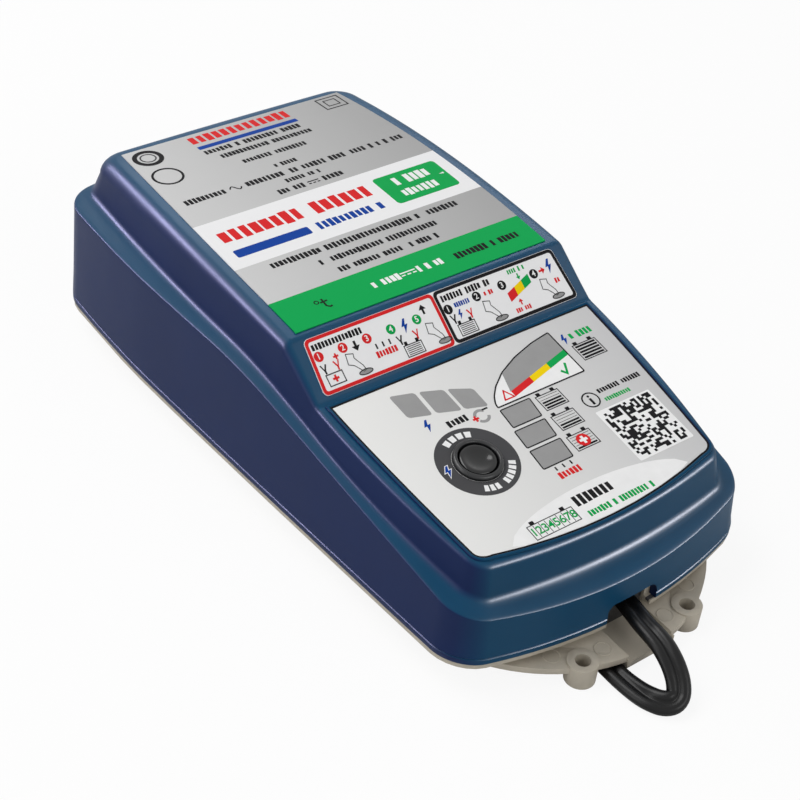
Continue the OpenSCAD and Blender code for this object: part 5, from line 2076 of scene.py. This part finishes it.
@dataclass
class StepLabel:
    """Printing of the two-part instruction label on the step."""

    form: CaseForm
    halves: Table = (
        (Ink.RED, [(-43.5, 0.1), (-0.5, 0.1), (-0.5, 16.2), (-44.7, 16.2)]),
        (Ink.BLACK, [(-0.3, 0.1), (43.5, 0.1), (44.7, 16.2), (-0.3, 16.2)]),
    )
    frame: float = 1.0
    # Rounding of a frame's outer and inner corners
    corners: Point = (1.5, 0.8)
    headings: Table = (
        (Ink.BLACK, -42.3, 1.7, -25.8, 4, 3), (Ink.BLACK, 1.4, 1.7, 18.8, 4, 8),
    )
    lettering: Table = (
        (Ink.RED, -25, 9.8, -18, 12, 6), (Ink.BLUE, 4.6, 4.9, 10, 6.6, 12),
        (Ink.RED, 15.3, 4.9, 18.6, 6.5, 13), (Ink.RED, 39.6, 8.6, 42.5, 10.4, 14),
        (Ink.GREEN, 25.7, 1.5, 32, 3.2, 15), (Ink.RED, 22.8, 12.9, 28.3, 14.5, 16),
    )
    numbers: Table = (
        (Ink.RED, "1", -41.3, 5.6), (Ink.RED, "2", -33.5, 5.6), (Ink.RED, "3", -25.5, 5.6),
        (Ink.GREEN, "4", -17.4, 5.6), (Ink.GREEN, "5", -8.5, 5.6), (Ink.BLACK, "1", 2.2, 6.2),
        (Ink.BLACK, "2", 12.7, 5.6), (Ink.BLACK, "3", 22.2, 5.2), (Ink.BLACK, "4", 34, 5.4),
    )
    # Radius of a number's disc and height of the number
    number_size: Point = (1.45, 1.7)
    signs: Table = (
        (Ink.BLACK, ARROW, -30.9, 4.9, 2.6, 2.9, 1), (Ink.BLACK, ARROW, -6.6, 2.1, 2.4, -2.9, 1),
        (Ink.RED, PLUS, -40.3, 11.6, 2, 2, 1), (Ink.RED, PLUS, -37.4, 6.2, 1.7, 1.7, 1),
        (Ink.BLUE, BOLT, -14.3, 4, 2.7, 4.2, 1), (Ink.BLUE, BOLT, 4.3, 7.2, 1.9, 2.9, 1),
        (Ink.BLUE, BOLT, 38.6, 2.6, 2.8, 4.4, 1), (Ink.GREEN, ARROW, 27.9, 3.5, 1.6, 1.9, 1),
        (Ink.RED, ARROW, 24.9, 10.6, 1.6, -1.9, 1), (Ink.RED, ASIDE, 36, 4.2, 2.2, 2.2, 1),
    )
    # Left edges of the battery clips, and whether each is the black one
    clips: Sequence[tuple[float, bool]] = (
        (-42.4, True), (-38.3, False), (-17.2, True), (-11.7, False), (1.6, True), (7.4, False),
    )
    # Top, width and height
    clip: Place = (8.0, 2.1, 2.8)
    # The flat battery's edges and its line's width
    flat: Sequence[float] = (-42, 10.9, -36.6, 14.4, 0.3)
    # The charged batteries' left edges, then top, width, height, bars and thickness
    charged: Point = (-16.2, 2.6)
    battery: Sequence[float] = (11.2, 6.1, 3.6, 5, 0.4)
    # The hands' left edges, then top, width, height and line width
    fingers: Sequence[float] = (-34.3, -7.2, 13.2, 34.4)
    finger: Sequence[float] = (7.4, 5.4, 6.4, 0.22)
    # The button under each hand: place, radii and line width
    pressed: Sequence[float] = (4.2, 13.9, 2.3, 0.85, 0.25)
    # Start, step and size of the three dots
    dots: Sequence[float] = (-23.8, 8.6, 2.2, 0.5, 1.5)
    # Width, rise and height of the gauge's slanted fields, then ink and place of each
    slant: Place = (3.1, 1.1, 2.7)
    strip: Table = (
        (Ink.RED, 22.7, 8.0), (Ink.YELLOW, 25.8, 6.9), (Ink.GREEN, 28.9, 5.8),
    )

    def build(self) -> None:
        """Builds the printing."""
        p = PrintSheet("step_print", "label_white", self.form.on_step)
        outer, inner = self.corners
        for ink, corners in self.halves:
            hole = softened(inset(corners, self.frame), inner)
            p.plate(ink, softened(corners, outer), 1, hole)
        p.lines(self.headings)
        r, high = self.number_size
        for ink, text, x, s in self.numbers:
            p.plate(ink, disc(x, s, r))
            p.number(Ink.WHITE, text, x, s, high, 2)
        p.signs(self.signs)
        # A flat battery, then the same battery with its two clips and with charge in it
        *corners, width = self.flat
        p.frame_line(Ink.BLACK, block(*corners), width, 1)
        s, w, h = self.clip
        for x, black in self.clips:
            p.plate(Ink.BLACK if black else Ink.RED, fitted(PLIERS, x, s, w if black else -w, h))
        for x in self.charged:
            p.battery(x, *self.battery)
        *spot, line = self.finger
        right, low, rx, ry, edge = self.pressed
        for x in self.fingers:
            p.frame_line(Ink.BLACK, fitted(FINGER, x, *spot), line, 1)
            button = disc(x + right, low, rx, ry)
            p.plate(Ink.WINDOW, button)
            p.frame_line(Ink.BLACK, button, edge, 2)
        x, s, step, *size = self.dots
        p.row(Ink.BLACK, x, s, PrintRow(3, step, tuple(size)))
        p.lines(self.lettering)
        w, up, h = self.slant
        for ink, x, s in self.strip:
            p.plate(ink, [(x, s), (x + w, s - up), (x + w, s - up + h), (x, s + h)])
        p.build()


@dataclass
class PanelPrint:
    """Printing of the display overlay, with a black band of painted shadow at its edge's gap and
    the case's bead round it.
    """

    form: CaseForm
    top_hw: float = 44.9
    foot_hw: float = 40.9
    side_l: float = 56.0
    length: float = 63.5
    corner: float = 3.0
    corner_w: float = 1.4
    power: float = 1.4
    side_steps: int = 16
    front_steps: int = 12
    # Width of the band of painted shadow round the overlay; the bead stands just outside it
    edge: float = 0.55
    bead_r: float = 0.42
    # The bead's profile as shares of its radius
    bead: Sequence[Point] = (
        (-1, 0), (-0.8, 0.5), (-0.35, 0.85), (0.35, 0.85), (0.8, 0.5), (1, 0),
    )
    bead_foot: float = 0.3
    windows: Sequence[Shape] = (
        [(-28.9, 3.3), (-21.7, 5.2), (-21.9, 14), (-28.7, 12)],
        [(-20.5, 5.5), (-13.7, 7.9), (-13.6, 16.3), (-20.6, 14)],
        [(-12.7, 8.1), (-6, 11.2), (-6, 18.3), (-12.7, 16.3)],
    )
    gauge: Sequence[Point] = (
        (27.3, 3.3), (27.3, 20.3), (-4.4, 20.3), (-4.1, 18.6), (-2.7, 16.2), (0, 13.4),
        (5, 9.9), (12, 6.8), (20, 4.5),
    )
    gauge_shade: Sequence[Point] = (
        (26.9, 3.8), (26.9, 10.9), (2.8, 16.9), (4.9, 10.5), (12, 7.3), (20, 5),
    )
    window_corner: float = 0.9
    # Rounding and line width of the gauge, then of the warning sign after its place and size
    gauge_edge: Point = (0.5, 0.4)
    warning: Sequence[float] = (-0.9, 15.2, 4, 3.8, 0.3, 0.45)
    # Start, height, slope and thickness of the gauge's fields, then ink and ends of each
    scale_line: Sequence[float] = (2.8, 16.9, -0.25, 2.1)
    scale: Table = (
        (Ink.RED, 3.0, 11.2), (Ink.YELLOW, 11.2, 18.9), (Ink.GREEN, 18.9, 26.9),
    )
    # Left, right, top and bottom of the windows under the gauge
    panes: Sequence[Sequence[float]] = (
        (-4.5, 6.2, 21, 28), (-5.7, 5.3, 28.9, 35.5), (-6.4, 4.6, 36.4, 43.4),
    )
    lettering: Table = (
        (Ink.BLACK, -20.7, 17.6, -13.8, 20.2, 4), (Ink.GREEN, 31.8, 6.2, 40, 9, 2),
        (Ink.BLACK, 25.2, 27, 41, 29, 9), (Ink.GREEN, 25.2, 30.5, 34.5, 32.2, 10),
        (Ink.RED, -4.6, 45.8, 3, 48.4, 6),
    )
    sweep: Table = (
        (Ink.BLACK, -7, 53.9, 6.4, 57.8, 20), (Ink.GREEN, -5.8, 59.6, 17.2, 61.9, 5),
    )
    # Left, top, width, height, bars and thickness
    batteries: Sequence[Sequence[float]] = (
        (7.5, 21.7, 8.1, 5.6, 3, 0.62), (6.8, 29.4, 8.1, 5.6, 2, 0.62),
        (5.9, 37.2, 8.1, 5.6, 1, 0.62), (30, 10.9, 8.6, 6.2, 5, 0.62),
    )
    signs: Table = (
        (Ink.GREEN, TICK, 20.6, 14.9, 3.6, 4.4, 2), (Ink.WHITE, PLUS, 8.6, 38.7, 2.6, 2.6, 4),
        (Ink.BLUE, BOLT, -27, 14.6, 2.8, 4.2, 1), (Ink.BLUE, BOLT, 28.6, 5.9, 2.5, 3.9, 1),
        (Ink.RED, PLUS, -13.2, 19.6, 2, 2, 2),
    )
    # How far a pane's lower corners lean in, its rounding and its line width
    pane_edge: Sequence[float] = (0.9, 0.6, 0.5, 0.35)
    discs: Table = ((Ink.RED, 9.9, 40, 2.1, 28, 3), (Ink.BLACK, 21.5, 28.2, 0.4, 12, 1))
    rings: Table = ((Ink.BLACK, 21.5, 29.6, 2.8, 36, 0.45),)
    blocks: Table = (
        (Ink.BLACK, 21.1, 29, 21.9, 31.4, 0.0, 1), (Ink.BLACK, -8.7, 18.4, -6.8, 18.9, 0.0, 2),
        (Ink.WHITE, 19.4, 33.9, 39.2, 53.3, 0.4, 1),
    )
    # Start, step and size of the three dots
    dots: Sequence[float] = (-3.6, 44.6, 2.6, 0.5, 1.3)
    # The two arrows of a cycle: middle, radius, first turn, step and line width
    cycle: Sequence[float] = (-10.0, 20.4, 2.0, 0.3, 0.27, 0.9)
    cycle_steps: int = 9
    # The chequer on the white card: squares each way, start, pitch, size and first seed
    chequer: Sequence[float] = (21, 20.7, 35.0, 0.86, 0.88, 50)
    # The white sweep's arch: left, width, foot, rise and how round
    arch: Sequence[float] = (-30.5, 61.5, 59.6, 7.6, 0.6)
    arch_steps: int = 24
    # How far it keeps from the edge, from where down, and its left and right ends there
    shore: Sequence[float] = (0.15, 58.2, -30.0, 30.5)
    # The cell battery: cells, left, top, bottom and pitch, then its line and its walls
    cells: Sequence[float] = (8, -23.6, 56.4, 61.2, 1.9)
    cell_lines: Place = (0.25, 0.18, 0.8)
    digit: float = 2.5
    # Its posts' middles, then half their width and their height
    posts: Sequence[float] = (-21.4, -11.2)
    post: Point = (0.7, 1.0)
    # Outer and inner radius of the dark field round the button
    dark: Point = (11.65, 7.1)
    # First and last angle and count of the blocks along each arc, one place empty
    arcs: Sequence[Sequence[int]] = ((-122, -62, 4), (24, 118, 9))
    arc_gap: int = 5
    # A block's inner and outer radius, and the shares of its place where it runs
    tick: Sequence[float] = (8.3, 10.3, 0.14, 0.86)

    def outline(self, out: float = 0.0) -> Shape:
        """Draws the overlay's outline.

        Args:
            out: how far it is moved outwards.

        Returns:
            Its points.
        """
        bow = self.length - self.side_l - self.corner
        foot, low = self.foot_hw, self.side_l + self.corner
        reach = foot - self.corner_w * self.corner
        side = [
            (self.top_hw - (self.top_hw - foot) * t**self.power, self.side_l * t)
            for t in (k / self.side_steps for k in range(self.side_steps))
        ]
        end = bend((foot, self.side_l), (foot, low), (reach, low), 8)
        shares = [k / self.front_steps for k in range(self.front_steps - 1, 0, -1)]
        front = [(reach * t, self.length - bow * t**2) for t in shares]
        half = side + end + front
        whole = half + [(0.0, self.length)] + [(-x, s) for x, s in half[::-1]]
        return inset(whole, -out)

    def build_bead(self) -> None:
        """Builds the bead that frames the overlay, moulded with the case."""
        line = self.outline(self.edge + self.bead_r)
        low = -self.bead_foot
        arch = [(x * self.bead_r, h * self.bead_r) for x, h in self.bead]
        profile = [(-self.bead_r, low), *arch, (self.bead_r, low)]
        n, m = len(line), len(profile)
        points = [self.form.on_panel(x, s, h) for d, h in profile for x, s in inset(line, d)]
        faces = [
            [k * n + i, k * n + (i + 1) % n, (k + 1) % m * n + (i + 1) % n, (k + 1) % m * n + i]
            for k in range(m)
            for i in range(n)
        ]
        make_piece("panel_bead", mesh_from("bead", points, faces), CASE, "case_blue", sharp=60)

    def display(self, p: PrintSheet) -> None:
        """Prints the status windows and the gauge.

        Args:
            p: the sheet that it is printed on.
        """
        for corners in self.windows:
            p.plate(Ink.WINDOW, softened(corners, self.window_corner))
        rounding, line = self.gauge_edge
        gauge = softened(self.gauge, rounding, 2)
        p.plate(Ink.WHITE, gauge)
        p.frame_line(Ink.BLACK, gauge, line, 3)
        p.plate(Ink.WINDOW, list(self.gauge_shade), 2)
        # The coloured fields stand on the grey field's slanted foot
        left, foot, slope, high = self.scale_line
        for ink, a, b in self.scale:
            low_a, low_b = (foot + slope * (x - left) for x in (a, b))
            p.plate(ink, [(a, low_a), (b, low_b), (b, low_b + high), (a, low_a + high)], 2)
        *spot, rounding, line = self.warning
        p.frame_line(Ink.RED, softened(fitted(TRIANGLE, *spot), rounding, 2), line, 2)
        lean_right, lean_left, rounding, line = self.pane_edge
        for x0, x1, s0, s1 in self.panes:
            corners = [(x0, s0), (x1, s0), (x1 - lean_right, s1), (x0 - lean_left, s1)]
            pane = softened(corners, rounding, 2)
            p.plate(Ink.WINDOW, pane)
            p.frame_line(Ink.BLACK, pane, line, 2)

    def beside(self, p: PrintSheet) -> None:
        """Prints the batteries, signs and lines of lettering beside the windows.

        Args:
            p: the sheet that they are printed on.
        """
        for place in self.batteries:
            p.battery(*place)
        p.discs(self.discs)
        p.rings(self.rings)
        p.blocks(self.blocks)
        p.signs(self.signs)
        p.lines(self.lettering)
        x, s, step, *size = self.dots
        p.row(Ink.BLACK, x, s, PrintRow(3, step, tuple(size)))
        x, s, r, first, step, width = self.cycle
        for start in (first, math.pi + first):
            turns = [start + step * k for k in range(self.cycle_steps)]
            arc = [(x + r * math.cos(a), s + r * math.sin(a)) for a in turns]
            p.plate(Ink.WINDOW, stroke(arc, width))
        # A plain chequer of no code
        squares, x, s, pitch, size, seed = self.chequer
        for line in range(squares):
            chequer = PrintRow(squares, pitch, (size, size), skip=0.5, seed=seed + line)
            p.row(Ink.BLACK, x, s + pitch * line, chequer, 2)

    def front(self, p: PrintSheet) -> None:
        """Prints the white sweep at the front with its cell battery and lettering.

        Args:
            p: the sheet that it is printed on.
        """
        gap, low, first, last = self.shore
        edge = [(x, s) for x, s in inset(self.outline(), gap) if s > low and first < x < last]
        edge.sort(key=lambda point: -point[0])
        left, wide, foot, rise, power = self.arch
        shares = [2 * k / self.arch_steps - 1 for k in range(self.arch_steps + 1)]
        top = [(left + wide * (t + 1) / 2, foot - rise * (1 - t**2) ** power) for t in shares]
        p.plate(Ink.WHITE, top + edge)
        p.lines(self.sweep, 2)
        cells, left, low, high, wide = self.cells
        line, wall, margin = self.cell_lines
        middle = (low + high) / 2
        p.frame_line(Ink.BLACK, block(left, low, left + cells * wide, high), line, 2)
        walls = PrintRow(cells - 1, wide, (wall, high - low - margin))
        p.row(Ink.BLACK, left + wide, middle, walls, 2)
        for k in range(cells):
            p.number(Ink.GREEN, str(k + 1), left + wide * (k + 0.5), middle, self.digit, 2)
        half, tall = self.post
        for x in self.posts:
            p.plate(Ink.BLACK, block(x - half, low - tall, x + half, low + p.sunk), 2)

    def button_field(self, p: PrintSheet) -> None:
        """Prints the dark field round the button, with blocks along two arcs.

        Args:
            p: the sheet that it is printed on.
        """
        x, s = self.form.button_x, self.form.button_s
        outer, inner = (disc(x, s, r, sides=72) for r in self.dark)
        p.plate(Ink.DISC, outer, 1, inner)
        near, far, start, end = self.tick
        for first, last, count in self.arcs:
            step = (last - first) / count
            for k in (place for place in range(count) if place != self.arc_gap):
                a, b = (math.radians(first + step * (k + v)) for v in (start, end))
                corners = ((near, a), (far, a), (far, b), (near, b))
                block_at = [(x + r * math.cos(t), s + r * math.sin(t)) for r, t in corners]
                p.plate(Ink.WHITE, block_at, 2)
        bolt = fitted(BOLT, x - 10.6, s - 2.4, 2.6, 3.6)
        p.plate(Ink.WHITE, inset(bolt, -0.22), 2)
        p.plate(Ink.BLUE, bolt, 3)

    def build(self) -> None:
        """Builds the printing, the black band of painted shadow at the overlay's edge, and the
        bead.
        """
        p = PrintSheet("panel_print", "label_silver", self.form.on_panel)
        # A black band just outside the overlay is painted shadow, standing for the dark gap between
        # its edge and the case.
        p.plate(Ink.BLACK, self.outline(self.edge), 1, self.outline(0.0))
        self.display(p)
        self.beside(p)
        self.front(p)
        self.button_field(p)
        p.build()
        self.build_bead()


# ---- studio -------------------------------------------------------------------------------------


@dataclass(frozen=True)
class Lamp:
    """A soft rectangular lamp that faces the charger, or a card for its reflections.

    Attributes:
        name: its name.
        place: where it stands, in metres.
        size: its width and height in metres.
        watts: its power.
        aim_z: how high it aims, in metres.
        card: the tint of a card that shows only in the moulded case's reflections, as flags
            keep it off the labels, or nothing for a lamp.
    """

    name: str
    place: Place
    size: Point
    watts: float
    aim_z: float = 0.04
    card: str = ""


@dataclass
class Studio:
    """Camera, soft lights, pale floor and white surround.

    Attributes:
        fill: strength of the surround as a light, 1 as it is seen.
        glow: share of the floor's own white that the camera sees.
        sheen: the pieces that the cards show in.
    """

    place: Place = (-262.86, -304.83, 337.71)
    azimuth: float = -40.91
    elevation: float = 39.10
    roll: float = 6.32
    lens: float = 78.46
    sensor: float = 36.0
    clip: Point = (0.01, 20.0)
    fill: float = 0.36
    floor_half: float = 4000.0
    grain: float = 60.0
    paper: Sequence[str] = ("#f2f2f2", "#f6f6f6")
    glow: float = 0.9
    lamps: Sequence[Lamp] = (
        # A broad key high over the rear left, a strip along the left side and a weak front fill
        Lamp("key", (-0.35, 0.55, 1.1), (0.9, 0.7), 8.6),
        Lamp("left_strip", (-1.0, 0.1, 0.5), (0.25, 1.2), 2.0, 0.03),
        Lamp("front_fill", (0.2, -1.1, 0.7), (0.8, 0.5), 3.2),
        # White cards whose reflections run as bright lines along the rim, crease and shoulder
        Lamp("left_card", (-0.72, 0.71, 0.59), (1.1, 0.14), 85, card="#d8d2ff"),
        Lamp("ledge_card", (0.61, 0.70, 0.76), (1.0, 0.35), 12, card="#f2f6ff"),
        Lamp("front_card", (0.58, -0.89, 0.49), (1.0, 0.14), 125, card="#f2f4ff"),
    )
    sheen: bpy.types.Collection = field(default_factory=lambda: bpy.data.collections.new("sheen"))

    def camera(self) -> None:
        """Makes the camera."""
        a, e, r = (math.radians(v) for v in (self.azimuth, self.elevation, self.roll))
        back = Vector((math.sin(a) * math.cos(e), -math.cos(a) * math.cos(e), math.sin(e)))
        right = Vector((math.cos(a), math.sin(a), 0))
        up = back.cross(right)
        right, up = right * math.cos(r) + up * math.sin(r), up * math.cos(r) - right * math.sin(r)
        data = bpy.data.cameras.new("camera")
        data.lens = self.lens
        data.sensor_width = self.sensor
        data.clip_start, data.clip_end = self.clip
        obj = bpy.data.objects.new("camera", data)
        turn = Matrix((right, up, back)).transposed().to_4x4()
        obj.matrix_world = Matrix.Translation(Vector(self.place) * MM) @ turn
        bpy.context.collection.objects.link(obj)
        bpy.context.scene.camera = obj

    def light(self, lamp: Lamp) -> None:
        """Adds a lamp or a card.

        Args:
            lamp: its settings.
        """
        data = bpy.data.lights.new(lamp.name, "AREA")
        data.shape = "RECTANGLE"
        data.size, data.size_y = lamp.size
        data.energy = lamp.watts
        data.color = linear(lamp.card or "#ffffff")[:3]
        obj = bpy.data.objects.new(lamp.name, data)
        obj.location = lamp.place
        way = Vector((0, 0, lamp.aim_z)) - Vector(lamp.place)
        obj.rotation_euler = way.to_track_quat("-Z", "Y").to_euler()
        if lamp.card:
            obj.visible_diffuse = False
            obj.light_linking.receiver_collection = self.sheen
        bpy.context.collection.objects.link(obj)

    def surround(self) -> None:
        """Makes the world: white to the camera and in reflections, softer as a light."""
        world = bpy.data.worlds.new("surround")
        world.use_nodes = True
        tree = world.node_tree
        tree.nodes.clear()
        path = add_node(tree, "ShaderNodeLightPath")
        seen = path.outputs["Is Camera Ray"]
        for name in ("Is Glossy Ray", "Is Transmission Ray"):
            both = add_node(
                tree, "ShaderNodeMath", links={0: seen, 1: path.outputs[name]}, operation="MAXIMUM"
            )
            seen = both.outputs[0]
        strength = add_node(
            tree, "ShaderNodeMapRange", {"To Min": self.fill, "To Max": 1.0}, {"Value": seen}
        )
        white = add_node(
            tree, "ShaderNodeBackground", {"Color": (1, 1, 1, 1)},
            {"Strength": strength.outputs["Result"]},
        )
        add_node(tree, "ShaderNodeOutputWorld", links={"Surface": white.outputs[0]})
        bpy.context.scene.world = world

    def floor(self) -> None:
        """Makes the pale floor, which keeps a faint shadow."""
        mat = bpy.data.materials.new("floor_paper")
        mat.use_nodes = True
        tree = mat.node_tree
        tree.nodes.clear()
        place = add_node(tree, "ShaderNodeTexCoord").outputs["Object"]
        grain = add_node(tree, "ShaderNodeTexNoise", {"Scale": self.grain}, {"Vector": place})
        tint = add_node(
            tree, "ShaderNodeValToRGB", links={"Fac": grain.outputs["Fac"]},
            stops=[(k, linear(c)) for k, c in enumerate(self.paper)],
        )
        paper = add_node(tree, "ShaderNodeBsdfDiffuse", links={"Color": tint.outputs["Color"]})
        glow = add_node(tree, "ShaderNodeEmission", {"Color": (1, 1, 1, 1), "Strength": 1.0})
        path = add_node(tree, "ShaderNodeLightPath")
        share = add_node(
            tree, "ShaderNodeMath", {1: self.glow}, {0: path.outputs["Is Camera Ray"]},
            operation="MULTIPLY",
        )
        mix = add_node(
            tree, "ShaderNodeMixShader",
            links={0: share.outputs[0], 1: paper.outputs[0], 2: glow.outputs[0]},
        )
        add_node(tree, "ShaderNodeOutputMaterial", links={"Surface": mix.outputs[0]})
        far = self.floor_half
        corners = [(-far, -far, 0), (far, -far, 0), (far, far, 0), (-far, far, 0)]
        mesh = mesh_from("floor", corners, [(0, 1, 2, 3)], recalc=False)
        mesh.materials.append(mat)
        obj = bpy.data.objects.new("floor", mesh)
        bpy.context.collection.objects.link(obj)

    def build(self) -> None:
        """Builds the studio."""
        self.camera()
        self.surround()
        self.floor()
        scene = bpy.context.scene
        scene.view_settings.view_transform = "Standard"
        for lamp in self.lamps:
            self.light(lamp)


# ---- the whole charger --------------------------------------------------------------------------


def main() -> None:
    """Builds the scene, camera and cord first."""
    logging.basicConfig(level=logging.INFO, format="%(name)s: %(message)s")
    studio = Studio()
    studio.build()
    dress_nodes(frame["nodes"])
    TwinLead().build()
    form = CaseForm()
    studio.sheen.objects.link(UpperCase(form).build())
    Tray().build()
    ButtonSet(form).build()
    RatingLabel(form).build()
    StepLabel(form).build()
    PanelPrint(form).build()


if __name__ == "__main__":
    main()
